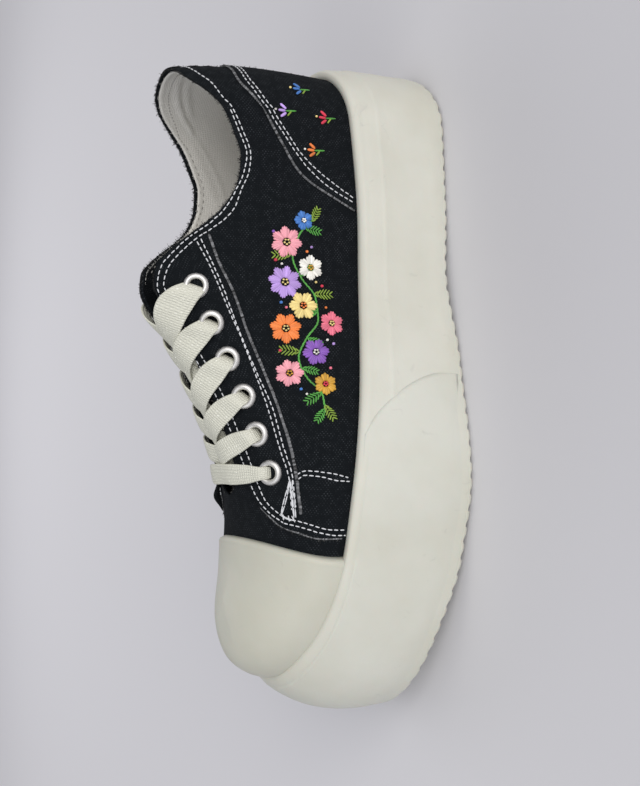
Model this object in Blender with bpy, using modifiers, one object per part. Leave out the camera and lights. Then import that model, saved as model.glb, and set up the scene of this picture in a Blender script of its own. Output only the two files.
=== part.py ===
"""Platform sneaker, left shoe: a hollow canvas upper lasted into a thick rubber platform.

Lengths are worked out in millimetres, from the heel end of the sole, and placed in metres:
+X runs to the toe, +Y to the outer (lateral) side, +Z up from the floor under the tread.
"""

import math
from collections import namedtuple

import bmesh
import bpy
from mathutils import Vector

MM = 0.001
OBJECT_NAME = "platform_sneaker"

# Driving sizes, in millimetres
HEEL_END = 3.0
TOE_END = 288.0
FRAME_ALONG = 146.6
FRAME_ACROSS = 2.15
FIT_GAP = 0.3
OVERLAY_GAP = 0.5
CANVAS_WALL = 1.8
OVERLAY_THICKNESS = 0.9
CAP_THICKNESS = 1.9
BUMPER_THICKNESS = 1.1
BUMPER_STANDOFF = 1.1
BUMPER_LEAST_OUT = 0.3
BUMPER_COLUMNS = 33
TREAD_THICKNESS = 7.0
RIB_PITCH = 6.6
RIB_DEPTH = 1.6
RIB_LAND = 0.36
RIB_SLOPE_END = 0.78
LIP_WIDTH = 4.6
WALL_LEAN = 3.0
INSOLE_THICKNESS = 4.0
INSOLE_EASE = 0.5
BUMPER_SWEEP = 26.0
BUMPER_HEEL_END = 143.0
THROAT_FRONT = 193.0
THROAT_ROUND = 13.0
CORNER_SOFTNESS = 0.02
EYELET_HOLE = 2.7
EYELET_BARREL = 3.1
EYELET_FLANGE = 5.2
EYELET_ROLL = 1.1
EYELET_CROWN = 1.2
EYELET_MOUTH = 0.7
EYELET_RIM = 0.1
EYELET_SIDES = 9
HOLE_EASE = 0.35
DRILL_DEPTH = 9.0
VENT_ALONG = (93.0, 115.0)
VENT_HEIGHT = 62.0
VENT_SCALE = 1.08
LACE_WIDTH = 7.4
LACE_THICKNESS = 1.2
LACE_OVERLAP = 3.0
LACE_REACH = 4.0
LACE_UNDER = 0.2
LACE_BAR_LIFT = 4.7
LACE_SINK = 1.6
LACE_SAG = 4.6
LACE_STEPS = 7
TONGUE_COLUMNS = 12
TONGUE_ROWS = 7
TONGUE_CURL = 2.5
PANEL_ROWS = 5
RIM_MARGIN = 0.015
MERGE = 1e-6
SHARP_ANGLE = 40.0

# The turn runs from 0 at the heel to 1 at the toe; these turns bound the straight middle of an outline.
TURN_HEEL = 0.22
TURN_TOE = 0.70
HEEL_CREST_PULL = 0.13
TOE_CREST_PULL = 0.69
SPINE_PULL = 0.5
SEAM_PULL = 0.95
TIP_SHARES = (0.12, 0.24)
STEP = 1e-3
HALVINGS = 40

PlanRow = namedtuple("PlanRow", "along half_width centre")
Outline = namedtuple("Outline", "heel toe heel_round toe_round heel_square toe_square plan")
HeightRow = namedtuple("HeightRow", "along height")
CrestRow = namedtuple("CrestRow", "along height fullness")
WallRow = namedtuple("WallRow", "rise out")
PanelRow = namedtuple("PanelRow", "along lower upper")
EdgeRow = namedtuple("EdgeRow", "along lower")
ThroatRow = namedtuple("ThroatRow", "along half_gap")
LaceRow = namedtuple("LaceRow", "along slant lift")
TongueRow = namedtuple("TongueRow", "along half_width drop")

# Sole outline at its widest, and the outline of the upper where it enters the cup
SOLE = Outline(HEEL_END, TOE_END, 33.0, 66.0, 2.1, 2.3, (
    PlanRow(3, 35.5, 0.5),
    PlanRow(40, 40.0, 1.0),
    PlanRow(95, 39.6, 3.1),
    PlanRow(140, 44.6, 4.6),
    PlanRow(190, 52.0, 2.5),
    PlanRow(215, 50.0, 0.0),
    PlanRow(250, 47.0, -4.0),
    PlanRow(288, 45.0, -8.0),
))
LAST = Outline(10.5, 268.0, 26.5, 58.0, 2.1, 2.2, (
    PlanRow(10.5, 29.0, 0.0),
    PlanRow(45, 32.0, 0.0),
    PlanRow(95, 30.5, 2.0),
    PlanRow(140, 35.0, 3.0),
    PlanRow(190, 42.8, 1.5),
    PlanRow(215, 42.8, -0.5),
    PlanRow(240, 41.0, -4.0),
    PlanRow(268, 37.0, -7.5),
))

# Heights over the floor: tread, lip of the platform, floor of its cup
TREAD = (
    HeightRow(0, 0.0),
    HeightRow(70, 0.0),
    HeightRow(105, 1.8),
    HeightRow(138, 0.0),
    HeightRow(185, 0.0),
    HeightRow(220, 2.0),
    HeightRow(250, 8.2),
    HeightRow(288, 15.0),
)
LIP = (
    HeightRow(0, 47.0),
    HeightRow(30, 43.8),
    HeightRow(80, 40.4),
    HeightRow(140, 44.0),
    HeightRow(190, 51.8),
    HeightRow(220, 55.8),
    HeightRow(245, 60.2),
    HeightRow(268, 67.8),
    HeightRow(288, 72.0),
)
CUP_FLOOR = (
    HeightRow(0, 30.0),
    HeightRow(45, 29.5),
    HeightRow(95, 29.0),
    HeightRow(140, 30.0),
    HeightRow(190, 33.0),
    HeightRow(220, 37.0),
    HeightRow(250, 44.5),
    HeightRow(288, 54.0),
)
TREAD_UNDERCUT = (
    HeightRow(3, 4.0),
    HeightRow(40, 0.6),
    HeightRow(220, 0.6),
    HeightRow(288, 4.0),
)

# Side wall of the platform from the tread seam, rise 0, to the lip, rise 1
SIDE_WALL = (
    WallRow(0.00, -0.7),
    WallRow(0.05, 0.3),
    WallRow(0.32, -0.7),
    WallRow(0.66, -0.4),
    WallRow(0.73, 0.9),
    WallRow(0.77, 0.2),
    WallRow(0.93, 0.6),
    WallRow(1.00, -0.9),
)

# Rises of the toe bumper's rows on that wall
BUMPER_RISES = (0.02, 0.25, 0.5, 0.68, 0.82, 0.92, 0.995)

# Crest that the sides of the upper climb to; it is open air over the collar and the throat
CREST = (
    CrestRow(33, 132.0, 2.6),
    CrestRow(60, 120.0, 2.6),
    CrestRow(85, 124.0, 2.1),
    CrestRow(107, 127.0, 1.8),
    CrestRow(129, 112.5, 1.8),
    CrestRow(155, 100.0, 1.7),
    CrestRow(180, 90.0, 1.7),
    CrestRow(205, 84.3, 1.9),
    CrestRow(222, 83.4, 2.1),
    CrestRow(240, 85.8, 2.2),
    CrestRow(255, 83.8, 2.2),
)
COLLAR = (
    HeightRow(10.5, 113.5),
    HeightRow(16, 112.6),
    HeightRow(23, 109.5),
    HeightRow(31.5, 102.8),
    HeightRow(39, 97.3),
    HeightRow(49, 92.8),
    HeightRow(57, 90.4),
    HeightRow(66, 91.2),
    HeightRow(76, 95.5),
    HeightRow(82, 100.6),
    HeightRow(88, 107.6),
    HeightRow(95, 115.5),
    HeightRow(105, 124.0),
    HeightRow(112, 127.0),
)
THROAT = (
    ThroatRow(90, 13.0),
    ThroatRow(107, 12.0),
    ThroatRow(150, 11.0),
    ThroatRow(193, 10.0),
)

# Lower and upper edges of the stitched-on panels, as heights over the floor
HEEL_COUNTER = (
    PanelRow(10.5, 46.9, 89.0),
    PanelRow(22, 45.6, 87.4),
    PanelRow(33.5, 44.4, 83.1),
    PanelRow(43.6, 43.5, 76.3),
    PanelRow(53, 42.8, 68.8),
    PanelRow(61.4, 42.3, 61.6),
    PanelRow(67.4, 41.9, 54.2),
    PanelRow(71.7, 41.7, 43.5),
)
EYESTAY = (
    EdgeRow(90, 106.0),
    EdgeRow(117, 96.3),
    EdgeRow(123, 92.4),
    EdgeRow(140, 86.3),
    EdgeRow(161, 79.3),
    EdgeRow(184, 73.1),
    EdgeRow(192, 72.0),
)
# Eyelet centres on either side of the throat
EYELETS = (
    HeightRow(110.3, 107.0),
    HeightRow(124.6, 100.7),
    HeightRow(138.9, 94.3),
    HeightRow(153.8, 88.1),
    HeightRow(168.9, 83.3),
    HeightRow(184.3, 78.6),
)
# Lace crossings: where a strap leaves the throat's edge, its run across for each step ahead, and its lift
LACES = (
    LaceRow(115.0, 1.3, 3.3),
    LaceRow(129.0, 1.45, 3.3),
    LaceRow(143.5, 1.6, 3.3),
    LaceRow(158.0, 1.9, 3.0),
    LaceRow(172.0, 2.6, 2.6),
)
LACE_BAR_ALONG = 183.3
CAP_EDGE_BASE = 217.6
CAP_EDGE_CREST = 210.5

TONGUE = (
    TongueRow(103, 20.0, 11.0),
    TongueRow(130, 19.0, 8.0),
    TongueRow(160, 18.0, 6.2),
    TongueRow(190, 17.0, 4.4),
    TongueRow(206, 16.0, 2.15),
)

# Stations of the upper between the heel arc and the toe arc
UPPER_MIDDLE = (
    37, 46, 55, 64, 73, 81, 88, 94, 99, 104, 110, 121, 132, 143,
    154, 165, 176, 184, 189, 192, 193, 198, 204, 210,
)
# Stations of the platform between its own two arcs
SOLE_MIDDLE = (36, 53, 70, 87, 96, 105, 114, 124, 138, 155, 171, 183, 194, 208, 222)
ARC_STEPS = 7
CLIMB_ROWS = 7


def clear_scene():
    """Remove every object that is in the file."""
    for item in list(bpy.data.objects):
        bpy.data.objects.remove(item, do_unlink=True)


def curve(table, column, along):
    """Column of a table at a distance along the shoe, on a smooth curve that never overshoots its rows."""
    xs = [row.along for row in table]
    ys = [getattr(row, column) for row in table]
    if along <= xs[0]:
        return ys[0]
    if along >= xs[-1]:
        return ys[-1]
    widths = [b - a for a, b in zip(xs, xs[1:])]
    slopes = [(b - a) / w for a, b, w in zip(ys, ys[1:], widths)]
    tangents = [slopes[0]]
    for before, after in zip(slopes, slopes[1:]):
        product = before * after
        tangents.append(2 * product / (before + after) if product > 0 else 0.0)
    tangents.append(slopes[-1])
    k = next(i for i, x in enumerate(xs[1:]) if along <= x)
    s = (along - xs[k]) / widths[k]
    rise = 3 * s ** 2 - 2 * s ** 3
    leave = (s - 2 * s ** 2 + s ** 3) * widths[k] * tangents[k]
    arrive = (s ** 3 - s ** 2) * widths[k] * tangents[k + 1]
    return ys[k] + (ys[k + 1] - ys[k]) * rise + leave + arrive


def straight(table, column, along):
    """Column of a table at a distance along the shoe, on straight lines between its rows."""
    for a, b in zip(table, table[1:]):
        if along <= b.along:
            s = max(0.0, (along - a.along) / (b.along - a.along))
            return getattr(a, column) + s * (getattr(b, column) - getattr(a, column))
    return getattr(table[-1], column)


def mix(a, b, share):
    return a + (b - a) * share


def split_lap(lap):
    """Turn and side of a lap: 0 heel, then the medial side, 1 toe, then the lateral side, 2 heel again."""
    lap = lap % 2.0
    return (lap, -1) if lap <= 1.0 else (2.0 - lap, 1)


def arc_share(turn):
    """How far a turn lies into the heel arc (negative) or the toe arc (positive), as a cosine."""
    if turn < TURN_HEEL:
        return -math.cos(0.5 * math.pi * turn / TURN_HEEL)
    if turn > TURN_TOE:
        return math.cos(0.5 * math.pi * (1.0 - turn) / (1.0 - TURN_TOE))
    return 0.0


def outline_along(outline, turn, heel_pull=1.0, toe_pull=1.0):
    """Distance along the shoe of a turn; the pulls draw the ends in towards their arcs' centres."""
    start = outline.heel + outline.heel_round
    end = outline.toe - outline.toe_round
    share = arc_share(turn)
    if share < 0:
        return start + outline.heel_round * heel_pull * share
    if share > 0:
        return end + outline.toe_round * toe_pull * share
    return mix(start, end, (turn - TURN_HEEL) / (TURN_TOE - TURN_HEEL))


def turn_at(outline, along):
    """Turn at which an outline reaches a distance along the shoe."""
    start = outline.heel + outline.heel_round
    end = outline.toe - outline.toe_round
    if along < start:
        return TURN_HEEL * math.acos(min(1.0, (start - along) / outline.heel_round)) / (0.5 * math.pi)
    if along > end:
        bend = math.acos(min(1.0, (along - end) / outline.toe_round)) / (0.5 * math.pi)
        return 1.0 - (1.0 - TURN_TOE) * bend
    return mix(TURN_HEEL, TURN_TOE, (along - start) / (end - start))


def end_reach(outline, along):
    """Share of the half width that is left at a distance along the shoe: 0 at the two tips."""
    into_heel = (outline.heel + outline.heel_round - along) / outline.heel_round
    into_toe = (along - outline.toe + outline.toe_round) / outline.toe_round
    if into_heel > 0:
        return max(0.0, 1 - min(1.0, into_heel) ** outline.heel_square) ** (1 / outline.heel_square)
    if into_toe > 0:
        return max(0.0, 1 - min(1.0, into_toe) ** outline.toe_square) ** (1 / outline.toe_square)
    return 1.0


def side_offset(outline, along, side):
    """Sideways place of an outline at a distance along the shoe."""
    half = curve(outline.plan, "half_width", along) * end_reach(outline, along)
    return curve(outline.plan, "centre", along) + side * half


def plan_point(outline, lap, grow=0.0):
    """Point of an outline seen from above, moved outwards by a distance."""
    turn, side = split_lap(lap)
    along = outline_along(outline, turn)
    point = Vector((along, side_offset(outline, along, side)))
    if grow:
        ahead = plan_point(outline, lap + STEP)
        behind = plan_point(outline, lap - STEP)
        tangent = (ahead - behind).normalized()
        point += grow * Vector((tangent.y, -tangent.x))
    return point


def upper_base(lap, climb):
    """Outer face of the upper: climb -1 on the cup floor, 0 at the lip, 1 at the crest."""
    turn, _ = split_lap(lap)
    foot = plan_point(LAST, lap)
    lip = curve(LIP, "height", foot.x)
    if climb <= 0:
        bottom = curve(CUP_FLOOR, "height", foot.x) + FIT_GAP
        return Vector((foot.x, foot.y, mix(lip, bottom, -climb)))
    crest_along = outline_along(LAST, turn, HEEL_CREST_PULL, TOE_CREST_PULL)
    crest_centre = curve(LAST.plan, "centre", crest_along)
    power = 2.0 / curve(CREST, "fullness", crest_along)
    across = max(0.0, math.cos(0.5 * math.pi * climb)) ** power
    up = math.sin(0.5 * math.pi * climb) ** power
    return Vector((
        mix(crest_along, foot.x, across),
        mix(crest_centre, foot.y, across),
        mix(lip, curve(CREST, "height", crest_along), up),
    ))


def upper_normal(lap, climb):
    """Outward direction of the upper's outer face."""
    if climb >= 1.0 - STEP:
        along = upper_base(lap, climb).x
        rise = curve(CREST, "height", along + STEP) - curve(CREST, "height", along - STEP)
        return Vector((-rise, 0.0, 2 * STEP)).normalized()
    forward = upper_base(lap + STEP, climb) - upper_base(lap - STEP, climb)
    if climb <= 0:
        return Vector((forward.y, -forward.x, 0.0)).normalized()
    upward = upper_base(lap, climb + STEP) - upper_base(lap, max(0.0, climb - STEP))
    return forward.cross(upward).normalized()


def upper_point(lap, climb, proud=0.0):
    """Point that stands proud of the upper's outer face by a distance."""
    point = upper_base(lap, climb)
    if proud:
        point = point + proud * upper_normal(lap, climb)
    return point


def climb_at_height(lap, height):
    """Climb at which the upper's outer face reaches a height over the floor."""
    low, high = 0.0, 1.0
    for _ in range(HALVINGS):
        middle = 0.5 * (low + high)
        if upper_base(lap, middle).z < height:
            low = middle
        else:
            high = middle
    return low


def climb_at_half_width(lap, half_gap):
    """Climb at which the upper's outer face comes within a distance of its centre line."""
    turn, _ = split_lap(lap)
    along = outline_along(LAST, turn)
    half = curve(LAST.plan, "half_width", along) * end_reach(LAST, along)
    fullness = curve(CREST, "fullness", along)
    return math.acos(min(1.0, half_gap / half) ** (fullness / 2)) / (0.5 * math.pi)


def rim_climb(lap):
    """Climb of the upper's open edge: the collar, then the throat, then 1 where the vamp is closed."""
    turn, _ = split_lap(lap)
    along = outline_along(LAST, turn)
    if along >= THROAT_FRONT:
        return 1.0
    if along < THROAT[0].along:
        return climb_at_height(lap, curve(COLLAR, "height", along))
    gap = curve(THROAT, "half_gap", along)
    into_round = (along - THROAT_FRONT + THROAT_ROUND) / THROAT_ROUND
    if into_round > 0:
        gap *= math.sqrt(1 - into_round ** 2)
    throat = climb_at_half_width(lap, gap)
    if along > COLLAR[-1].along:
        return throat
    collar = climb_at_height(lap, curve(COLLAR, "height", along))
    spread = math.hypot(collar - throat, CORNER_SOFTNESS)
    return 0.5 * (collar + throat - spread)


def instep_point(along, across, proud):
    """Point at a distance across from the centre line of the instep, standing proud of the upper's form."""
    turn = turn_at(LAST, along)
    lap = turn if across < 0 else 2.0 - turn
    return upper_point(lap, climb_at_half_width(lap, abs(across)), proud)


def cup_spine(lap):
    """Point of the cup floor's centre line for a lap; the line stops inside the cup's two ends."""
    turn, _ = split_lap(lap)
    along = outline_along(LAST, turn, SPINE_PULL, SPINE_PULL)
    return Vector((along, curve(LAST.plan, "centre", along), curve(CUP_FLOOR, "height", along)))


def tread_height(along):
    return curve(TREAD, "height", along)


def seam_height(along):
    """Height of the platform's underside, just clear of the tread."""
    return tread_height(along) + TREAD_THICKNESS + FIT_GAP


def wall_point(lap, rise, out):
    """Point of the platform's side: rise 0 at the tread seam, 1 at the lip, standing out by a distance."""
    low = plan_point(SOLE, lap, out)
    high = plan_point(LAST, lap, LIP_WIDTH + out)
    plan = low.lerp(high, rise ** WALL_LEAN)
    seam = seam_height(low.x)
    lip = curve(LIP, "height", plan_point(LAST, lap).x)
    return Vector((plan.x, plan.y, mix(seam, lip, rise)))


def wall_out(rise):
    """How far the platform's side stands out at a rise, on straight lines between its rows."""
    for a, b in zip(SIDE_WALL, SIDE_WALL[1:]):
        if rise <= b.rise:
            return mix(a.out, b.out, (rise - a.rise) / (b.rise - a.rise))
    return SIDE_WALL[-1].out


def world(point):
    """Millimetres from the tables' origin to metres from the middle of the shoe's bounding box."""
    return (point - Vector((FRAME_ALONG, FRAME_ACROSS, 0.0))) * MM


def finish_material(name, colour, roughness, metallic=0.0):
    material = bpy.data.materials.new(name)
    material.use_nodes = True
    shader = material.node_tree.nodes["Principled BSDF"]
    shader.inputs["Base Color"].default_value = (*colour, 1.0)
    shader.inputs["Roughness"].default_value = roughness
    shader.inputs["Metallic"].default_value = metallic
    material.diffuse_color = (*colour, 1.0)
    return material


def add_part(name, mesh, material, collection):
    """Make a mesh an object of a collection, shaded smooth but for its sharp edges."""
    mesh.materials.append(material)
    mesh.shade_smooth()
    mesh.set_sharp_from_angle(angle=math.radians(SHARP_ANGLE))
    part = bpy.data.objects.new(name, mesh)
    collection.objects.link(part)
    return part


def draped_mesh(name, columns, rows, place):
    """Grid whose vertices are laid on a form by place(column, row); points that meet are merged."""
    shape = bmesh.new()
    bmesh.ops.create_grid(shape, x_segments=columns - 1, y_segments=rows - 1, size=1.0)
    for index, vertex in enumerate(list(shape.verts)):
        vertex.co = world(place(index % columns, index // columns))
    bmesh.ops.remove_doubles(shape, verts=shape.verts, dist=MERGE)
    mesh = bpy.data.meshes.new(name)
    shape.to_mesh(mesh)
    shape.free()
    return mesh


def thicken(part, thickness, outward):
    """Give an open surface its thickness, outwards or inwards."""
    wall = part.modifiers.new("wall", "SOLIDIFY")
    wall.thickness = thickness * MM
    wall.offset = 1.0 if outward else -1.0
    wall.use_even_offset = True


def cut(part, cutter):
    """Take a cutter away from a part."""
    hole = part.modifiers.new("hole", "BOOLEAN")
    hole.operation = "DIFFERENCE"
    hole.solver = "EXACT"
    hole.object = cutter


def full_laps(turns):
    """Laps once round the shoe for turns from heel to toe, the first one again at the end."""
    return list(turns) + [2.0 - turn for turn in reversed(turns[:-1])]


def section_turns(outline, middle):
    """Turns from heel to toe: even steps round both arcs, and stations between them."""
    heel = [TURN_HEEL * k / ARC_STEPS for k in range(ARC_STEPS)]
    sides = [turn_at(outline, along) for along in middle]
    toe = [mix(TURN_TOE, 1.0, k / ARC_STEPS) for k in range(1, ARC_STEPS + 1)]
    return heel + sides + toe


def upper_turns():
    return section_turns(LAST, UPPER_MIDDLE)


def sole_turns():
    return section_turns(SOLE, SOLE_MIDDLE)


def build_outsole(collection, material):
    """Rubber tread: straight ribs right across, whose ends make a saw edge round the sole."""
    ribs = int((TOE_END - HEEL_END) / RIB_PITCH)
    pitch = (TOE_END - HEEL_END) / ribs
    places = {HEEL_END, TOE_END}
    for k in range(ribs):
        start = HEEL_END + k * pitch
        places.update((start, start + RIB_LAND * pitch, start + RIB_SLOPE_END * pitch))
    for share in TIP_SHARES:
        places.add(outline_along(SOLE, TURN_HEEL * share))
        places.add(outline_along(SOLE, mix(1.0, TURN_TOE, share)))
    stations = sorted(places)
    count = len(stations)

    def rib_notch(along):
        share = ((along - HEEL_END) / pitch) % 1.0
        if share <= RIB_LAND + STEP or share > 1.0 - STEP:
            return 0.0
        if share <= RIB_SLOPE_END + STEP:
            return RIB_DEPTH * (share - RIB_LAND) / (RIB_SLOPE_END - RIB_LAND)
        return RIB_DEPTH * (1.0 - share) / (1.0 - RIB_SLOPE_END)

    def place(column, row):
        side = -1 if column < count else 1
        along = stations[column if column < count else 2 * (count - 1) - column]
        centre = curve(SOLE.plan, "centre", along)
        edge = side_offset(SOLE, along, side)
        under = curve(TREAD_UNDERCUT, "height", along)
        inner = along - under * arc_share(turn_at(SOLE, along)) ** 3
        inner_edge = centre + side * max(0.0, abs(edge - centre) - under)
        bottom = tread_height(along) + rib_notch(along)
        top = tread_height(along) + TREAD_THICKNESS
        return (
            Vector((inner, centre, bottom)),
            Vector((inner, inner_edge, bottom)),
            Vector((along, edge, top)),
            Vector((along, centre, top)),
        )[row]

    mesh = draped_mesh("outsole", 2 * count - 1, 4, place)
    return add_part("outsole", mesh, material, collection)


def build_midsole(collection, material):
    """Rubber platform with its moulded side wall, a lip, and a cup that takes the upper."""
    laps = full_laps(sole_turns())
    wall_rows = len(SIDE_WALL)

    def place(column, row):
        lap = laps[column]
        if row == 0:
            along = outline_along(SOLE, split_lap(lap)[0], SEAM_PULL, SEAM_PULL)
            return Vector((along, curve(SOLE.plan, "centre", along), seam_height(along)))
        if row <= wall_rows:
            wall = SIDE_WALL[row - 1]
            return wall_point(lap, wall.rise, wall.out)
        cup = plan_point(LAST, lap, FIT_GAP)
        if row == wall_rows + 1:
            return Vector((cup.x, cup.y, curve(LIP, "height", plan_point(LAST, lap).x)))
        if row == wall_rows + 2:
            return Vector((cup.x, cup.y, curve(CUP_FLOOR, "height", cup.x)))
        return cup_spine(lap)

    mesh = draped_mesh("midsole", len(laps), wall_rows + 4, place)
    return add_part("midsole", mesh, material, collection)


def build_toe_bumper(collection, material):
    """Rubber wrap round the toe of the platform; each end is a quarter arc from the floor to the lip."""

    def place(column, row):
        rise = BUMPER_RISES[row]
        sweep = BUMPER_HEEL_END + BUMPER_SWEEP * (1 - math.sqrt(1 - rise ** 2))
        start = turn_at(SOLE, sweep)
        lap = mix(start, 2.0 - start, column / (BUMPER_COLUMNS - 1))
        return wall_point(lap, rise, max(BUMPER_LEAST_OUT, wall_out(rise)) + BUMPER_STANDOFF)

    mesh = draped_mesh("toe_bumper", BUMPER_COLUMNS, len(BUMPER_RISES), place)
    part = add_part("toe_bumper", mesh, material, collection)
    thicken(part, BUMPER_THICKNESS, outward=True)
    return part


def build_upper(collection, material):
    """Canvas upper: one shell round the last, open at the collar, the throat and underneath."""
    laps = full_laps(upper_turns())

    def place(column, row):
        lap = laps[column]
        if row == 0:
            return upper_point(lap, -1.0)
        return upper_point(lap, rim_climb(lap) * (row - 1) / CLIMB_ROWS)

    mesh = draped_mesh("upper", len(laps), CLIMB_ROWS + 2, place)
    part = add_part("upper", mesh, material, collection)
    thicken(part, CANVAS_WALL, outward=False)
    return part


def build_insole(collection, material):
    """Foam footbed on the floor of the cup, inside the upper."""
    laps = full_laps(sole_turns())
    inset = -(CANVAS_WALL + INSOLE_EASE)

    def place(column, row):
        lap = laps[column]
        lift = FIT_GAP if row < 2 else FIT_GAP + INSOLE_THICKNESS
        if row in (0, 3):
            point = cup_spine(lap)
        else:
            edge = plan_point(LAST, lap, inset)
            point = Vector((edge.x, edge.y, curve(CUP_FLOOR, "height", edge.x)))
        return point + Vector((0.0, 0.0, lift))

    mesh = draped_mesh("insole", len(laps), 4, place)
    return add_part("insole", mesh, material, collection)


def build_toe_cap(collection, material):
    """Rubber cap over the toe, an outer skin of the upper's own form."""
    turns = [turn for turn in upper_turns() if turn > TURN_TOE + STEP]
    laps = [TURN_TOE] + turns + [2.0 - turn for turn in reversed(turns[:-1])] + [2.0 - TURN_TOE]

    def place(column, row):
        climb = row / CLIMB_ROWS
        edge = turn_at(LAST, mix(CAP_EDGE_BASE, CAP_EDGE_CREST, climb ** 2))
        lap = min(max(laps[column], edge), 2.0 - edge)
        point = upper_point(lap, climb, OVERLAY_GAP)
        if row == 0:
            point.z += FIT_GAP
        return point

    mesh = draped_mesh("toe_cap", len(laps), CLIMB_ROWS + 1, place)
    part = add_part("toe_cap", mesh, material, collection)
    thicken(part, CAP_THICKNESS, outward=True)
    return part


def build_heel_counter(collection, material):
    """Canvas patch round the heel, an outer skin of the upper's own form."""
    reach = turn_at(LAST, HEEL_COUNTER[-1].along)
    turns = [turn for turn in upper_turns() if turn < reach - STEP] + [reach]
    laps = [2.0 - turn for turn in reversed(turns)] + [2.0 + turn for turn in turns[1:]]

    def place(column, row):
        lap = laps[column]
        along = outline_along(LAST, split_lap(lap)[0])
        low = curve(HEEL_COUNTER, "lower", along)
        high = curve(HEEL_COUNTER, "upper", along)
        height = mix(low, high, row / (PANEL_ROWS - 1))
        return upper_point(lap, climb_at_height(lap, height), OVERLAY_GAP)

    mesh = draped_mesh("heel_counter", len(laps), PANEL_ROWS, place)
    part = add_part("heel_counter", mesh, material, collection)
    thicken(part, OVERLAY_THICKNESS, outward=True)
    return part


def build_eyestay(collection, material, name, side):
    """Canvas facing along one side of the throat, rounded off in front of it."""
    first, last = EYESTAY[0].along, EYESTAY[-1].along
    turns = [turn_at(LAST, first)]
    turns += [turn_at(LAST, along) for along in UPPER_MIDDLE if first < along <= last]
    laps = turns if side < 0 else [2.0 - turn for turn in reversed(turns)]

    def place(column, row):
        lap = laps[column]
        along = outline_along(LAST, split_lap(lap)[0])
        low = climb_at_height(lap, straight(EYESTAY, "lower", along))
        high = rim_climb(lap) - RIM_MARGIN
        return upper_point(lap, mix(low, high, row / (PANEL_ROWS - 1)), OVERLAY_GAP)

    mesh = draped_mesh(name, len(laps), PANEL_ROWS, place)
    part = add_part(name, mesh, material, collection)
    thicken(part, OVERLAY_THICKNESS, outward=True)
    return part


def build_tongue(collection, material):
    """Canvas tongue under the throat; it sinks into the empty shoe towards its top."""
    first, last = TONGUE[0].along, TONGUE[-1].along

    def place(column, row):
        along = mix(first, last, column / (TONGUE_COLUMNS - 1))
        share = 2.0 * row / (TONGUE_ROWS - 1) - 1.0
        across = share * curve(TONGUE, "half_width", along)
        drop = curve(TONGUE, "drop", along) + TONGUE_CURL * share ** 2
        return instep_point(along, across, -drop)

    mesh = draped_mesh("tongue", TONGUE_COLUMNS, TONGUE_ROWS, place)
    part = add_part("tongue", mesh, material, collection)
    thicken(part, CANVAS_WALL, outward=False)
    return part


def turned_ring(name, scale, material, collection):
    """Pressed eyelet round +Z: a rolled flange over the cloth and a barrel through it."""
    flange_foot = OVERLAY_GAP + OVERLAY_THICKNESS + FIT_GAP
    profile = (
        (EYELET_HOLE * scale, flange_foot + EYELET_MOUTH),
        ((EYELET_HOLE + EYELET_ROLL) * scale, flange_foot + EYELET_CROWN),
        (EYELET_FLANGE * scale, flange_foot + EYELET_RIM),
        (EYELET_BARREL * scale, flange_foot),
        (EYELET_BARREL * scale, -CANVAS_WALL),
        (EYELET_HOLE * scale, -CANVAS_WALL),
    )
    shape = bmesh.new()
    ring = [shape.verts.new((radius * MM, 0.0, height * MM)) for radius, height in profile]
    for a, b in zip(ring, ring[1:] + ring[:1]):
        shape.edges.new((a, b))
    mesh = bpy.data.meshes.new(name)
    shape.to_mesh(mesh)
    shape.free()
    part = add_part(name, mesh, material, collection)
    screw = part.modifiers.new("turn", "SCREW")
    screw.steps = EYELET_SIDES
    screw.render_steps = EYELET_SIDES
    screw.use_merge_vertices = True
    screw.merge_threshold = MERGE
    return part


def hole_cutter(name, scale, collection):
    """Drill for an eyelet's barrel, round +Z."""
    shape = bmesh.new()
    radius = (EYELET_BARREL * scale + HOLE_EASE) * MM
    bmesh.ops.create_cone(
        shape, cap_ends=True, segments=EYELET_SIDES, radius1=radius, radius2=radius, depth=DRILL_DEPTH * MM)
    mesh = bpy.data.meshes.new(name)
    shape.to_mesh(mesh)
    shape.free()
    cutter = bpy.data.objects.new(name, mesh)
    cutter.hide_render = True
    cutter.display_type = "WIRE"
    collection.objects.link(cutter)
    return cutter


def set_on_upper(item, lap, climb):
    """Stand an item on the upper's outer face, its +Z along the face's outward direction."""
    item.location = world(upper_point(lap, climb))
    item.rotation_mode = "QUATERNION"
    item.rotation_quaternion = upper_normal(lap, climb).to_track_quat("Z", "X")


def build_eyelet(name, lap, climb, scale, cloth, parts, cutters, material):
    """One eyelet through each cloth layer that it holds."""
    ring = turned_ring(name, scale, material, parts)
    set_on_upper(ring, lap, climb)
    drill = hole_cutter(name + "_drill", scale, cutters)
    set_on_upper(drill, lap, climb)
    for layer in cloth:
        cut(layer, drill)


def lace_strap(start, end, lift, sink, collection, material, name):
    """Flat band between two places, each an along and an across; it sags over the throat, then sinks."""
    run = Vector((end[0] - start[0], end[1] - start[1])).normalized()
    edge = Vector((-run.y, run.x)) * LACE_WIDTH / 2

    def place(column, row):
        share = column / (LACE_STEPS - 1)
        side = 2 * row - 1
        along = mix(start[0], end[0], share) + side * edge.x
        across = mix(start[1], end[1], share) + side * edge.y
        sag = LACE_SAG * max(0.0, 1.0 - (across / curve(THROAT, "half_gap", along)) ** 2)
        return instep_point(along, across, lift - sag - sink * share ** 3)

    mesh = draped_mesh(name, LACE_STEPS, 2, place)
    part = add_part(name, mesh, material, collection)
    thicken(part, LACE_THICKNESS, outward=True)
    return part


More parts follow.
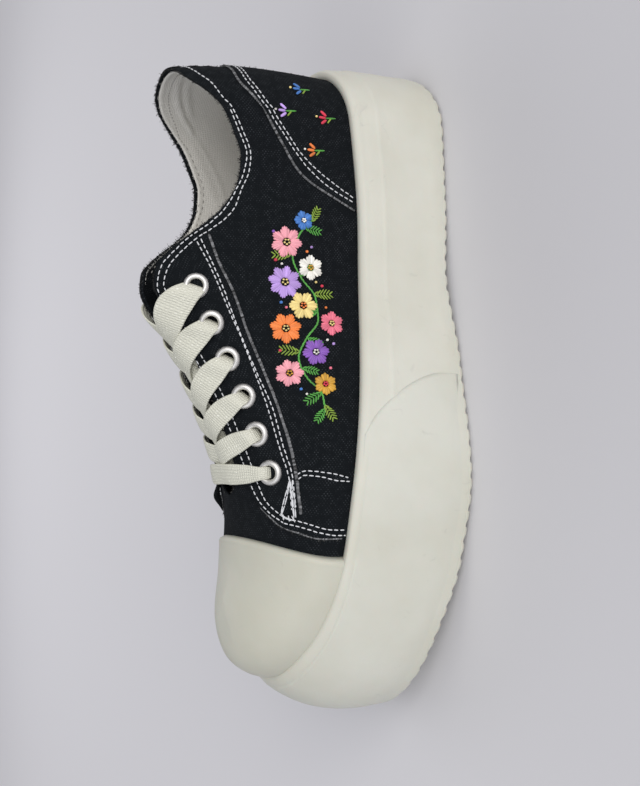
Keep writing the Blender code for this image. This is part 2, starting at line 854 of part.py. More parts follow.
def build_laces(parts, cutters, material):
    """Flat lace where it shows: five crossings, and a straight bar over the lowest pair of eyelets."""
    start_across = curve(THROAT, "half_gap", FRAME_ALONG) + LACE_OVERLAP
    for index, row in enumerate(LACES):
        name = "lace_crossing_%d" % (index + 1)
        end = row.along + (start_across + LACE_REACH) / row.slant
        band = lace_strap((row.along, start_across), (end, -LACE_REACH), row.lift, LACE_SINK,
                          parts, material, name)
        other = lace_strap((row.along, -start_across), (end, LACE_REACH), row.lift - LACE_UNDER, LACE_SINK,
                           cutters, material, name + "_under")
        other.hide_render = True
        other.display_type = "WIRE"
        join = band.modifiers.new("join", "BOOLEAN")
        join.operation = "UNION"
        join.solver = "EXACT"
        join.object = other
    lace_strap((LACE_BAR_ALONG, start_across), (LACE_BAR_ALONG, -start_across), LACE_BAR_LIFT, 0.0,
               parts, material, "lace_bar")


def main():
    clear_scene()
    parts = bpy.data.collections.new(OBJECT_NAME)
    cutters = bpy.data.collections.new(OBJECT_NAME + "_cutters")
    bpy.context.scene.collection.children.link(parts)
    bpy.context.scene.collection.children.link(cutters)

    cream_rubber = finish_material("cream_rubber", (0.66, 0.65, 0.59), 0.5)
    black_canvas = finish_material("black_canvas", (0.012, 0.013, 0.016), 0.9)
    pale_lining = finish_material("pale_lining", (0.62, 0.60, 0.56), 0.9)
    nickel = finish_material("nickel", (0.62, 0.62, 0.60), 0.28, 1.0)
    cream_lace = finish_material("cream_lace", (0.72, 0.69, 0.58), 0.85)

    build_outsole(parts, cream_rubber)
    build_midsole(parts, cream_rubber)
    build_toe_bumper(parts, cream_rubber)
    build_insole(parts, pale_lining)
    upper = build_upper(parts, black_canvas)
    build_toe_cap(parts, cream_rubber)
    build_heel_counter(parts, black_canvas)
    build_tongue(parts, black_canvas)
    for side, label in ((1, "lateral"), (-1, "medial")):
        eyestay = build_eyestay(parts, black_canvas, "eyestay_" + label, side)
        for index, row in enumerate(EYELETS):
            turn = turn_at(LAST, row.along)
            lap = turn if side < 0 else 2.0 - turn
            name = "eyelet_%s_%d" % (label, index + 1)
            climb = climb_at_height(lap, row.height)
            build_eyelet(name, lap, climb, 1.0, (upper, eyestay), parts, cutters, nickel)
    for index, along in enumerate(VENT_ALONG):
        lap = turn_at(LAST, along)
        climb = climb_at_height(lap, VENT_HEIGHT)
        build_eyelet("vent_%d" % (index + 1), lap, climb, VENT_SCALE, (upper,), parts, cutters, nickel)
    build_laces(parts, cutters, cream_lace)


main()
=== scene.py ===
"""A platform sneaker for the left foot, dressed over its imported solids.

The tables hold millimetres: along runs from heel to toe, across from the inner to the outer side, and
height up from the floor. Pieces are placed in metres.
"""

import math

import bpy
import numpy as np
from mathutils import Matrix, Vector


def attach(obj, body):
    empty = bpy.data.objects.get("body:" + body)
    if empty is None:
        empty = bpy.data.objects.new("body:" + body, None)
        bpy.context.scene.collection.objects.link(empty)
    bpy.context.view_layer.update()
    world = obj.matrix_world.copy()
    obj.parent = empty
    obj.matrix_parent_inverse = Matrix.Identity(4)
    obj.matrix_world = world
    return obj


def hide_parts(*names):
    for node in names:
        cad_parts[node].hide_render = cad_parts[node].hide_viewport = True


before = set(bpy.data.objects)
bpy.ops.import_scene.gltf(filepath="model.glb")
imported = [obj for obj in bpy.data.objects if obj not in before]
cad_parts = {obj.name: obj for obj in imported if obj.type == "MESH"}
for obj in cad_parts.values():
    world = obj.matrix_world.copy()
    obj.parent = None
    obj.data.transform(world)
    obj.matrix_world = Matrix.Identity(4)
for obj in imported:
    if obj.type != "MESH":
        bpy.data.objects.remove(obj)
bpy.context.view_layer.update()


# Studio: a seamless pale floor lit by large soft boxes, as for a shop picture.
# The camera looks down on the outer side and is rolled, so the toe points down the picture.
FLOOR_SIZE = 30.0
FLOOR_DROP = 0.0002
PAPER = (0.705, 0.697, 0.722, 1.0)
AIR = (0.93, 0.94, 1.0, 1.0)
AIR_STRENGTH = 0.40
SOFT_LIGHTS = (
    ("key_light", "SUN", (-0.35, 1.0, 0.55), (0.0, 0.0, 0.05), 0.9, 1.95, (1.0, 0.985, 0.96)),
    ("fill_box", "AREA", (0.85, 0.65, 0.70), (0.02, 0.0, 0.05), 1.0, 3.0, (0.96, 0.98, 1.0)),
    ("back_box", "AREA", (-0.1, -0.95, 0.75), (0.0, 0.0, 0.06), 1.0, 2.2, (0.98, 0.98, 1.0)),
)
EYE = Vector((0.0359, 0.36465, 0.2322))
AIM = Vector((0.0060, 0.0300, 0.0587))
PICTURE_UP = Vector((-0.995, 0.091, 0.028))
SENSOR = 36.0
LENS = 42.8


def deselect():
    if bpy.context.object and bpy.context.object.mode != "OBJECT":
        bpy.ops.object.mode_set(mode="OBJECT")
    bpy.ops.object.select_all(action="DESELECT")


def add_node(tree, kind, values=None, **settings):
    made = tree.nodes.new(kind)
    for name, value in settings.items():
        setattr(made, name, value)
    for name, value in (values or {}).items():
        made.inputs[name].default_value = value
    return made


def new_material(name, **values):
    made = bpy.data.materials.new(name)
    made.use_nodes = True
    shader = made.node_tree.nodes["Principled BSDF"]
    for socket, value in values.items():
        shader.inputs[socket.replace("_", " ")].default_value = value
    return made, made.node_tree, shader


deselect()
bpy.ops.mesh.primitive_plane_add(size=FLOOR_SIZE)
floor = bpy.context.object
floor.name = "studio_floor"
for vertex in floor.data.vertices:
    vertex.co.z = -FLOOR_DROP
paper = new_material("studio_paper", Roughness=0.85, Base_Color=PAPER, Specular_IOR_Level=0.15)[0]
floor.data.materials.append(paper)

bpy.context.scene.view_settings.view_transform = "Standard"
bpy.context.scene.world = bpy.data.worlds.new("studio_air")
bpy.context.scene.world.use_nodes = True
air = bpy.context.scene.world.node_tree.nodes["Background"]
air.inputs["Color"].default_value = AIR
air.inputs["Strength"].default_value = AIR_STRENGTH

for name, kind, place, aim, size, power, tint in SOFT_LIGHTS:
    bpy.ops.object.light_add(type=kind, location=place)
    lamp = bpy.context.object
    lamp.name = name
    if kind == "SUN":
        lamp.data.angle = size
    else:
        lamp.data.shape = "DISK"
        lamp.data.size = size
    lamp.data.energy = power
    lamp.data.color = tint
    lamp.rotation_euler = (Vector(aim) - Vector(place)).to_track_quat("-Z", "Y").to_euler()

sight = (AIM - EYE).normalized()
right = sight.cross(PICTURE_UP).normalized()
bpy.ops.object.camera_add(location=EYE)
camera = bpy.context.object
camera.rotation_euler = Matrix((right, right.cross(sight), -sight)).transposed().to_euler()
camera.data.sensor_fit = "VERTICAL"
camera.data.sensor_height = SENSOR
camera.data.lens = LENS
camera.data.clip_start = 0.01
bpy.context.scene.camera = camera


# The last: the foot-shaped form that the cloth is pulled over and the rubber is wrapped round.
# Every soft piece below is laid on it by lap (round the foot from the heel) and climb (sole to crest).
SOLE = {
    "heel": 3.0, "toe": 288.0, "heel_round": 33.0, "toe_round": 66.0, "heel_square": 2.1,
    "toe_square": 2.3,
    "plan": (
        (3, 35.5, 0.5), (40, 40, 1), (95, 39.6, 3.1), (140, 44.6, 4.6), (190, 52, 2.5), (215, 50, 0),
        (250, 47, -4), (288, 45, -8),
    ),
}
LAST = {
    "heel": 10.5, "toe": 268.0, "heel_round": 26.5, "toe_round": 58.0, "heel_square": 2.1,
    "toe_square": 2.2,
    "plan": (
        (10.5, 29, 0), (45, 32, 0), (95, 30.5, 2), (140, 35, 3), (190, 42.8, 1.5), (215, 42.8, -0.5),
        (240, 41, -4), (268, 37, -7.5),
    ),
}
TREAD = ((0, 0), (70, 0), (105, 1.8), (138, 0), (185, 0), (220, 2.0), (250, 8.2), (288, 15))
LIP = (
    (0, 47), (30, 43.8), (80, 40.4), (140, 44), (190, 51.8), (220, 55.8), (245, 60.2), (268, 67.8),
    (288, 72),
)
CUP_FLOOR = ((0, 30), (45, 29.5), (95, 29), (140, 30), (190, 33), (220, 37), (250, 44.5), (288, 54))
CREST = (
    (33, 132, 2.6), (60, 120, 2.6), (85, 124, 2.1), (107, 127, 1.8), (129, 112.5, 1.8), (155, 100, 1.7),
    (180, 90, 1.7), (205, 84.3, 1.9), (222, 83.4, 2.1), (240, 85.8, 2.2), (255, 83.8, 2.2),
)
COLLAR = (
    (10.5, 113.5), (16, 112.6), (23, 109.5), (31.5, 102.8), (39, 97.3), (49, 92.8), (57, 90.4),
    (66, 91.2), (76, 95.5), (82, 100.6), (88, 107.6), (95, 115.5), (105, 124), (112, 127),
)
THROAT = ((90, 11.0), (107, 9.4), (130, 9.0), (150, 9.6), (170, 10.4), (193, 10.0))
THROAT_FRONT = 193.0
THROAT_ROUND = 13.0
COLLAR_ENDS = 90.0
THROAT_STARTS = 112.0
HEEL_ARC = 0.22
TOE_ARC = 0.70
HEEL_CREST_PULL = 0.13
TOE_CREST_PULL = 0.69
TINY = 1e-3
WELD = 2e-5
MODEL_CENTRE = np.array((146.6, 2.15, 0.0))


def curve(rows, column, along):
    table = np.array(rows, float)
    xs = table[:, 0]
    ys = table[:, column]
    slopes = np.diff(ys) / np.diff(xs)
    tangents = np.empty(len(xs))
    tangents[0] = slopes[0]
    tangents[-1] = slopes[-1]
    product = slopes[:-1] * slopes[1:]
    total = slopes[:-1] + slopes[1:]
    total[product <= 0] = 1.0
    tangents[1:-1] = np.where(product > 0, 2.0 * product / total, 0.0)
    at = np.clip(along, xs[0], xs[-1])
    span = np.clip(np.searchsorted(xs, at, side="right") - 1, 0, len(xs) - 2)
    width = xs[span + 1] - xs[span]
    share = (at - xs[span]) / width
    rest = 1.0 - share
    return (
        ys[span] * rest * rest * (1 + 2 * share)
        + ys[span + 1] * share * share * (1 + 2 * rest)
        + tangents[span] * width * share * rest * rest
        - tangents[span + 1] * width * share * share * rest
    )


def split_lap(lap):
    wrapped = np.mod(lap, 2.0)
    inner = wrapped <= 1.0
    return np.where(inner, wrapped, 2.0 - wrapped), np.where(inner, -1.0, 1.0)


def outline_along(outline, turn, heel_pull=1.0, toe_pull=1.0):
    start = outline["heel"] + outline["heel_round"]
    end = outline["toe"] - outline["toe_round"]
    heel = -np.cos(0.5 * np.pi * np.minimum(turn, HEEL_ARC) / HEEL_ARC)
    toe = np.cos(0.5 * np.pi * np.minimum(1.0 - turn, 1.0 - TOE_ARC) / (1.0 - TOE_ARC))
    middle = start + (end - start) * (turn - HEEL_ARC) / (TOE_ARC - HEEL_ARC)
    return np.where(
        turn < HEEL_ARC,
        start + outline["heel_round"] * heel_pull * heel,
        np.where(turn > TOE_ARC, end + outline["toe_round"] * toe_pull * toe, middle),
    )


def turn_at(outline, along):
    start = outline["heel"] + outline["heel_round"]
    end = outline["toe"] - outline["toe_round"]
    heel = np.clip((start - along) / outline["heel_round"], 0.0, 1.0)
    toe = np.clip((along - end) / outline["toe_round"], 0.0, 1.0)
    middle = HEEL_ARC + (TOE_ARC - HEEL_ARC) * (along - start) / (end - start)
    return np.where(
        along < start,
        HEEL_ARC * np.arccos(heel) / (0.5 * np.pi),
        np.where(along > end, 1.0 - (1.0 - TOE_ARC) * np.arccos(toe) / (0.5 * np.pi), middle),
    )


def end_reach(outline, along):
    heel = np.clip((outline["heel"] + outline["heel_round"] - along) / outline["heel_round"], 0.0, 1.0)
    toe = np.clip((along - outline["toe"] + outline["toe_round"]) / outline["toe_round"], 0.0, 1.0)
    at_heel = (1.0 - heel ** outline["heel_square"]) ** (1.0 / outline["heel_square"])
    at_toe = (1.0 - toe ** outline["toe_square"]) ** (1.0 / outline["toe_square"])
    return at_heel * at_toe


def plan_point(outline, lap, grow=0.0):
    def bare(at):
        turn, side = split_lap(at)
        along = outline_along(outline, turn)
        half = curve(outline["plan"], 1, along)
        centre = curve(outline["plan"], 2, along)
        return along, centre + side * half * end_reach(outline, along)

    x, y = bare(lap)
    x1, y1 = bare(lap + TINY)
    x0, y0 = bare(lap - TINY)
    length = np.hypot(x1 - x0, y1 - y0)
    return x + grow * (y1 - y0) / length, y - grow * (x1 - x0) / length


def grids(*values):
    return np.broadcast_arrays(*(np.asarray(value, float) for value in values))


def xyz(*parts):
    return np.stack(np.broadcast_arrays(*parts), axis=-1)


def unit(vectors):
    return vectors / np.maximum(np.linalg.norm(vectors, axis=-1, keepdims=True), 1e-9)


def crest_place(lap):
    return outline_along(LAST, split_lap(lap)[0], HEEL_CREST_PULL, TOE_CREST_PULL)


def upper_base(lap, climb):
    lap, climb = grids(lap, climb)
    foot_x, foot_y = plan_point(LAST, lap)
    crest = crest_place(lap)
    power = 2.0 / curve(CREST, 2, crest)
    angle = 0.5 * np.pi * np.clip(climb, 0.0, 1.0)
    across = np.clip(np.cos(angle), 0.0, 1.0) ** power
    up = np.clip(np.sin(angle), 0.0, 1.0) ** power
    lip = curve(LIP, 1, foot_x)
    floor_height = curve(CUP_FLOOR, 1, foot_x) + 0.3
    middle = curve(LAST["plan"], 2, crest)
    z = lip + (curve(CREST, 1, crest) - lip) * up
    z = np.where(climb < 0.0, lip + (lip - floor_height) * np.maximum(climb, -1.0), z)
    return xyz(crest + (foot_x - crest) * across, middle + (foot_y - middle) * across, z)


def upper_normal(lap, climb):
    lap, climb = grids(lap, climb)
    forward = upper_base(lap + TINY, climb) - upper_base(lap - TINY, climb)
    above = upper_base(lap, np.minimum(climb + TINY, 1.0))
    normal = np.cross(forward, above - upper_base(lap, np.maximum(climb - TINY, -1.0)))
    crest = crest_place(lap)
    slope = curve(CREST, 1, crest + 0.5) - curve(CREST, 1, crest - 0.5)
    return unit(np.where((climb > 1.0 - 2 * TINY)[..., None], xyz(-slope, 0.0, 1.0), normal))


def lap_on(along, side):
    turn = turn_at(LAST, np.asarray(along, float))
    return np.where(np.asarray(side) > 0, 2.0 - turn, turn)


def crest_height(lap):
    crest = crest_place(lap)
    return curve(CREST, 1, crest), curve(CREST, 2, crest)


def climb_at_height(lap, height):
    top, fullness = crest_height(lap)
    lip = curve(LIP, 1, plan_point(LAST, lap)[0])
    share = np.clip((height - lip) / (top - lip), 0.0, 1.0)
    return np.arcsin(share ** (0.5 * fullness)) * 2.0 / np.pi


def climb_at_half_width(lap, gap):
    fullness = crest_height(lap)[1]
    turn = split_lap(lap)[0]
    half = curve(LAST["plan"], 1, outline_along(LAST, turn))
    share = np.clip(gap / half, 0.0, 1.0)
    return np.arccos(share ** (0.5 * fullness)) * 2.0 / np.pi


def rim_climb(lap):
    along = plan_point(LAST, lap)[0]
    into = np.clip((along - THROAT_FRONT + THROAT_ROUND) / THROAT_ROUND, 0.0, 1.0)
    gap = curve(THROAT, 1, along) * np.sqrt(1.0 - into * into)
    throat = climb_at_half_width(lap, gap)
    collar = climb_at_height(lap, curve(COLLAR, 1, along))
    both = 0.5 * (collar + throat - np.hypot(collar - throat, 0.02))
    rim = np.where(along < COLLAR_ENDS, collar, np.where(along > THROAT_STARTS, throat, both))
    return np.where(along >= THROAT_FRONT, 1.0, rim)


FOLDS = (
    (1, 192, 58, 213, 66, 2.6, -0.55), (1, 196, 66, 214, 73, 2.4, -0.40),
    (1, 199, 61, 213, 70, 2.6, 0.45), (-1, 192, 58, 213, 66, 2.6, -0.55),
    (-1, 198, 64, 214, 74, 2.8, 0.50), (1, 62, 72, 84, 50, 7.0, -0.55), (1, 80, 84, 96, 60, 6.0, 0.50),
    (-1, 66, 74, 92, 52, 7.0, -0.60), (-1, 94, 88, 128, 60, 9.0, 0.55),
    (1, 150, 74, 182, 62, 6.0, -0.35), (1, 40, 88, 60, 82, 4.0, 0.45), (-1, 38, 90, 62, 80, 4.0, -0.55),
)


def fold_height(lap, points):
    side = split_lap(lap)[1]
    total = np.zeros(points.shape[:-1])
    for hand, along_a, height_a, along_b, height_b, width, depth in FOLDS:
        run = np.array((along_b - along_a, height_b - height_a), float)
        start = np.stack([points[..., 0] - along_a, points[..., 2] - height_a], axis=-1)
        share = np.clip((start @ run) / (run @ run), 0.0, 1.0)
        away = np.linalg.norm(start - share[..., None] * run, axis=-1)
        total += np.where(side == hand, depth * np.exp(-((away / width) ** 2)), 0.0)
    return total


def cloth(lap, climb, proud):
    lap, climb, proud = grids(lap, climb, proud)
    base = upper_base(lap, climb)
    raised = proud + fold_height(lap, base)
    return base + upper_normal(lap, climb) * raised[..., None]


def instep(along, across, proud):
    along, across, proud = grids(along, across, proud)
    lap = lap_on(along, np.where(across >= 0, 1, -1))
    climb = climb_at_half_width(lap, np.abs(across))
    return upper_base(lap, climb) + upper_normal(lap, climb) * proud[..., None]


def to_frame(points):
    return (np.asarray(points, float) - MODEL_CENTRE) * 0.001


def cloth_uv(points):
    around = np.zeros(points.shape[:2])
    around[:, 1:] = np.cumsum(np.linalg.norm(np.diff(points[:1], axis=1), axis=-1), axis=1)
    upward = np.zeros(points.shape[:2])
    upward[1:] = np.cumsum(np.linalg.norm(np.diff(points, axis=0), axis=-1), axis=0)
    return np.stack([around, upward], axis=-1)


def weld_doubles(threshold):
    bpy.ops.object.mode_set(mode="EDIT")
    bpy.ops.mesh.select_all(action="SELECT")
    bpy.ops.mesh.remove_doubles(threshold=threshold)
    bpy.ops.mesh.normals_make_consistent(inside=False)
    bpy.ops.object.mode_set(mode="OBJECT")


def drape(name, points, uv=None, weld=0.0):
    rows, columns = points.shape[:2]
    deselect()
    bpy.ops.mesh.primitive_grid_add(x_subdivisions=columns - 1, y_subdivisions=rows - 1, size=1.0)
    piece = bpy.context.object
    piece.name = name
    mesh = piece.data
    mesh.name = name
    mesh.vertices.foreach_set("co", to_frame(points).ravel())
    corner = np.empty(len(mesh.loops), int)
    mesh.loops.foreach_get("vertex_index", corner)
    uv = cloth_uv(points) if uv is None else uv
    mesh.uv_layers[0].data.foreach_set("uv", uv.reshape(-1, 2)[corner].ravel())
    mesh.update()
    if weld:
        weld_doubles(weld)
    bpy.ops.object.shade_smooth()
    return piece


def pick(piece):
    deselect()
    piece.select_set(True)
    bpy.context.view_layer.objects.active = piece


def thicken(piece, thickness, offset=-1.0, rim=0):
    pick(piece)
    wall = piece.modifiers.new("wall", "SOLIDIFY")
    wall.thickness = thickness * 0.001
    wall.offset = offset
    wall.use_even_offset = False
    wall.material_offset_rim = rim
    bpy.ops.object.modifier_apply(modifier=wall.name)


def fit(piece, materials, slot, *nodes):
    for material in materials:
        piece.data.materials.append(material)
    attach(piece, "root")
    if nodes:
        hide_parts(*nodes)


# Outsole: a cream rubber tread with cross ribs that show as a fine sawtooth along the bottom edge.
# It is moulded and glued under the platform; the ribs are shallower at the rim than underneath.
RIB_COUNT = 43
RIB_START = 3.0
RIB_PITCH = 285.0 / RIB_COUNT
TREAD_TINT = (0.62, 0.617, 0.546, 1.0)
TREAD_SPINE_PULL = 0.80
TREAD_RIM = (
    (-0.6, 3.4, 0.0, 0.0), (-0.6, 3.4, 0.0, 1.0), (-0.25, 2.8, 0.0, 1.0), (-0.12, 2.3, 0.0, 1.0),
    (-0.10, 1.8, 0.1, 1.0), (-0.3, 0.9, 0.55, 1.0), (-0.8, 0.2, 0.95, 1.0), (-2.0, 0.0, 1.25, 1.0),
)
TREAD_UNDER = tuple((-4.0, 0.0, 1.6, share) for share in np.linspace(1.0, 0.0, 13))


def new_group(name, inputs, outputs):
    group = bpy.data.node_groups.new(name, "ShaderNodeTree")
    for direction, sockets in (("INPUT", inputs), ("OUTPUT", outputs)):
        for socket, kind in sockets.items():
            group.interface.new_socket(socket, in_out=direction, socket_type="NodeSocket" + kind)
    return group, add_node(group, "NodeGroupInput"), add_node(group, "NodeGroupOutput")


def object_noise(tree, scale, detail, **more):
    where = add_node(tree, "ShaderNodeTexCoord")
    made = add_node(tree, "ShaderNodeTexNoise", {"Scale": scale, "Detail": detail, **more})
    tree.links.new(where.outputs["Object"], made.inputs["Vector"])
    return made.outputs["Fac"]


def remap(tree, value, low, high, to_low=0.0, to_high=1.0):
    limits = {"From Min": low, "From Max": high, "To Min": to_low, "To Max": to_high}
    made = add_node(tree, "ShaderNodeMapRange", limits)
    tree.links.new(value, made.inputs["Value"])
    return made.outputs["Result"]


def ramp(tree, value, dark, light, low=0.0, high=1.0):
    made = add_node(tree, "ShaderNodeValToRGB")
    for element, place, colour in zip(made.color_ramp.elements, (low, high), (dark, light)):
        element.position = place
        element.color = colour
    tree.links.new(value, made.inputs["Fac"])
    return made.outputs["Color"]


def bumped(tree, height, strength, distance):
    made = add_node(tree, "ShaderNodeBump", {"Strength": strength, "Distance": distance})
    tree.links.new(height, made.inputs["Height"])
    return made.outputs["Normal"]


def rubber_group():
    group, source, result = new_group(
        "moulded_rubber", {"Tint": "Color"}, {"Color": "Color", "Roughness": "Float", "Normal": "Vector"}
    )
    link = group.links.new
    cloud = object_noise(group, 22.0, 4.0, Roughness=0.55)
    grain = object_noise(group, 950.0, 3.0)
    smear = object_noise(group, 60.0, 5.0, Distortion=0.6)
    marks = object_noise(group, 130.0, 6.0, Distortion=1.2)
    tinted = add_node(group, "ShaderNodeMix", {"Factor": 1.0}, data_type="RGBA", blend_type="MULTIPLY")
    link(source.outputs["Tint"], tinted.inputs[6])
    link(ramp(group, cloud, (0.90, 0.89, 0.855, 1.0), (1.0, 1.0, 1.0, 1.0), 0.30, 0.66), tinted.inputs[7])
    scuffed = add_node(group, "ShaderNodeMix", {7: (0.26, 0.25, 0.23, 1.0)}, data_type="RGBA")
    link(remap(group, marks, 0.66, 0.76, 0.0, 0.16), scuffed.inputs["Factor"])
    link(tinted.outputs[2], scuffed.inputs[6])
    link(scuffed.outputs[2], result.inputs["Color"])
    link(remap(group, smear, 0.3, 0.7, 0.40, 0.56), result.inputs["Roughness"])
    link(bumped(group, grain, 0.10, 0.0004), result.inputs["Normal"])
    return group


RUBBER = rubber_group()


def rubber_material(name, tint):
    made, tree, shader = new_material(
        name, Specular_IOR_Level=0.35, Subsurface_Weight=0.06, Subsurface_Scale=0.004
    )
    use = add_node(tree, "ShaderNodeGroup", {"Tint": tint}, node_tree=RUBBER)
    for socket, target in (("Color", "Base Color"), ("Roughness", "Roughness"), ("Normal", "Normal")):
        tree.links.new(use.outputs[socket], shader.inputs[target])
    return made


def tread_rise(along, depth):
    share = np.mod((along - RIB_START) / RIB_PITCH, 1.0)
    slope = np.clip((share - 0.36) / 0.42, 0.0, 1.0)
    back = np.clip((1.0 - share) / 0.10, 0.0, 1.0)
    return depth * np.minimum(slope * slope * (3.0 - 2.0 * slope), back)


tread_laps = np.linspace(0.0, 2.0, 1201)
spine = outline_along(SOLE, split_lap(tread_laps)[0], TREAD_SPINE_PULL, TREAD_SPINE_PULL)
middle = curve(SOLE["plan"], 2, spine)
tread_rows = []
for out, height, depth, reach in TREAD_RIM + TREAD_UNDER:
    tread_x, tread_y = plan_point(SOLE, tread_laps, out)
    x = spine + (tread_x - spine) * reach
    z = curve(TREAD, 1, x) + height + tread_rise(x, depth)
    tread_rows.append(xyz(x, middle + (tread_y - middle) * reach, z))
tread_points = np.stack(tread_rows[::-1])
outsole = drape("tread_outsole", tread_points, tread_points[..., :2].copy(), WELD)
fit(outsole, [rubber_material("tread_rubber", TREAD_TINT)], "cream_rubber", "outsole")


# Platform: the tall cream cup of moulded rubber, with a soft bead at its lip and two faint raised lines.
# It is one moulding; the upper is lasted down into the cup and glued.
SIDE_WALL = (
    (0, -0.08), (0.03, 0.0), (0.10, 0.12), (0.14, -0.02), (0.32, -0.35), (0.62, -0.25), (0.70, -0.05),
    (0.735, 0.1), (0.77, -0.08), (0.90, -0.12), (0.955, 0.05), (1, -0.7),
)
WALL_RISES = np.concatenate(
    [[0.0, 0.003], np.linspace(0.015, 0.06, 4), np.linspace(0.1, 0.64, 10), np.linspace(0.66, 1.0, 22)]
)
LIP_WIDTH = 4.6
SEAM_RISE = 2.6
CUP_CLEARANCE = 0.3
CUP_MIDDLE = (140.0, 2.0)
CUP_FLOOR_MIDDLE = 29.0
UNDERSIDE_MIDDLE = 6.0
PLATFORM_TINT = (0.635, 0.631, 0.562, 1.0)


def seam_height(along):
    return curve(TREAD, 1, along) + SEAM_RISE


def wall_point(lap, rise, out):
    low_x, low_y = plan_point(SOLE, lap, out)
    high_x, high_y = plan_point(LAST, lap, LIP_WIDTH + out)
    lip = curve(LIP, 1, plan_point(LAST, lap)[0])
    lean = rise**3
    low = seam_height(low_x)
    return xyz(low_x + (high_x - low_x) * lean, low_y + (high_y - low_y) * lean, low + (lip - low) * rise)


laps = np.linspace(0.0, 2.0, 289)
side_rows = [wall_point(laps, rise, curve(SIDE_WALL, 1, rise)) for rise in WALL_RISES]
lip_x = plan_point(LAST, laps)[0]
lip_z = curve(LIP, 1, lip_x)
swell = 0.50 - 0.25 * np.clip((lip_x - 205.0) / 20.0, 0.0, 1.0)
bead_rows = []
for share in np.linspace(0.0, 1.0, 9)[1:]:
    edge_x, edge_y = plan_point(LAST, laps, LIP_WIDTH - 0.7 - (LIP_WIDTH - 1.0) * share)
    bead_rows.append(xyz(edge_x, edge_y, lip_z + swell * np.sin(np.pi * share) - 0.5 * share))
cup_x, cup_y = plan_point(LAST, laps, CUP_CLEARANCE)
cup_drop = curve(CUP_FLOOR, 1, lip_x) - lip_z
cup_rows = [xyz(cup_x, cup_y, lip_z + cup_drop * share) for share in (0.12, 0.4, 1.0)]
under_row = xyz(*CUP_MIDDLE, 0.0 * laps + UNDERSIDE_MIDDLE)
floor_row = xyz(*CUP_MIDDLE, 0.0 * laps + CUP_FLOOR_MIDDLE)
platform_points = np.stack([under_row, *side_rows, *bead_rows, *cup_rows, floor_row])
platform = drape("platform_cup", platform_points, None, WELD)
fit(platform, [rubber_material("platform_rubber", PLATFORM_TINT)], "cream_rubber", "midsole")


# Toe bumper: a thin strip of the same rubber wrapped round the front of the cup.
# Its rear ends sweep back in an arc; it is bonded flat, and a fine edge shows round the toe cap.
BUMPER_REAR = 143.0
BUMPER_SWEEP = 33.0
BUMPER_TOP = 0.99
BUMPER_DROP = 0.045
BUMPER_STEP = 0.018
BUMPER_PROUD = 0.9
BUMPER_SINK = 0.5
BUMPER_FRONT = 213.0
BUMPER_BLEND = 9.0
BUMPER_RISES = np.concatenate([np.linspace(0.02, 0.88, 22), np.linspace(0.90, 0.975, 16)])
BUMPER_TINT = (0.63, 0.628, 0.564, 1.0)
turns = np.linspace(HEEL_ARC, TOE_ARC, 200)
bumper_rows = []
for rise in BUMPER_RISES:
    rear = BUMPER_REAR + BUMPER_SWEEP * (1.0 - math.sqrt(1.0 - rise * rise))
    start = float(np.interp(rear, wall_point(turns, rise, 0.0)[:, 0], turns))
    reach = np.linspace(start, 2.0 - start, 161)
    ends = np.minimum(np.abs(reach - reach[0]), np.abs(reach - reach[-1]))
    settle = np.clip(ends / 0.006, 0.0, 1.0)
    fade = 0.02 + 0.20 * np.clip(ends / 0.04, 0.0, 1.0)
    front = np.clip((wall_point(reach, rise, 0.0)[:, 0] - BUMPER_FRONT) / BUMPER_BLEND, 0.0, 1.0)
    front = front * front * (3.0 - 2.0 * front)
    drop = np.clip(BUMPER_TOP - BUMPER_DROP * front - rise, 0.0, 1.0)
    edge = np.minimum(1.0, np.minimum(rise / fade, drop / (fade + (BUMPER_STEP - fade) * front)))
    out = max(0.1, float(curve(SIDE_WALL, 1, rise))) + BUMPER_PROUD
    out = out * np.sqrt(settle * (2.0 - settle)) * edge**0.5 - BUMPER_SINK
    bumper_rows.append(wall_point(reach, rise, out))
bumper = drape("toe_bumper_strip", np.stack(bumper_rows))
thicken(bumper, BUMPER_PROUD)
fit(bumper, [rubber_material("bumper_rubber", BUMPER_TINT)], "cream_rubber", "toe_bumper")


# Insole: a foam sock covered in pale cloth, dropped into the cup and lightly dished in the middle.
# It lies loose between the lining's feet.
SOCK_EDGE = (
    (0.0, 0.0), (1.0, 0.0), (1.0, 3.2), (0.985, 3.8), (0.95, 4.0), (0.8, 3.7), (0.5, 3.4), (0.2, 3.4),
    (0.0, 3.4),
)
SOCK_INSET = 2.1
SOCK_SPINE = (36.0, 225.0)
SOCK_LIFT = 0.4


def maths(tree, operation, first, second=None):
    made = add_node(tree, "ShaderNodeMath", operation=operation)
    for socket, value in zip(made.inputs, (first, second)):
        if isinstance(value, (int, float)):
            socket.default_value = value
        elif value is not None:
            tree.links.new(value, socket)
    return made.outputs[0]


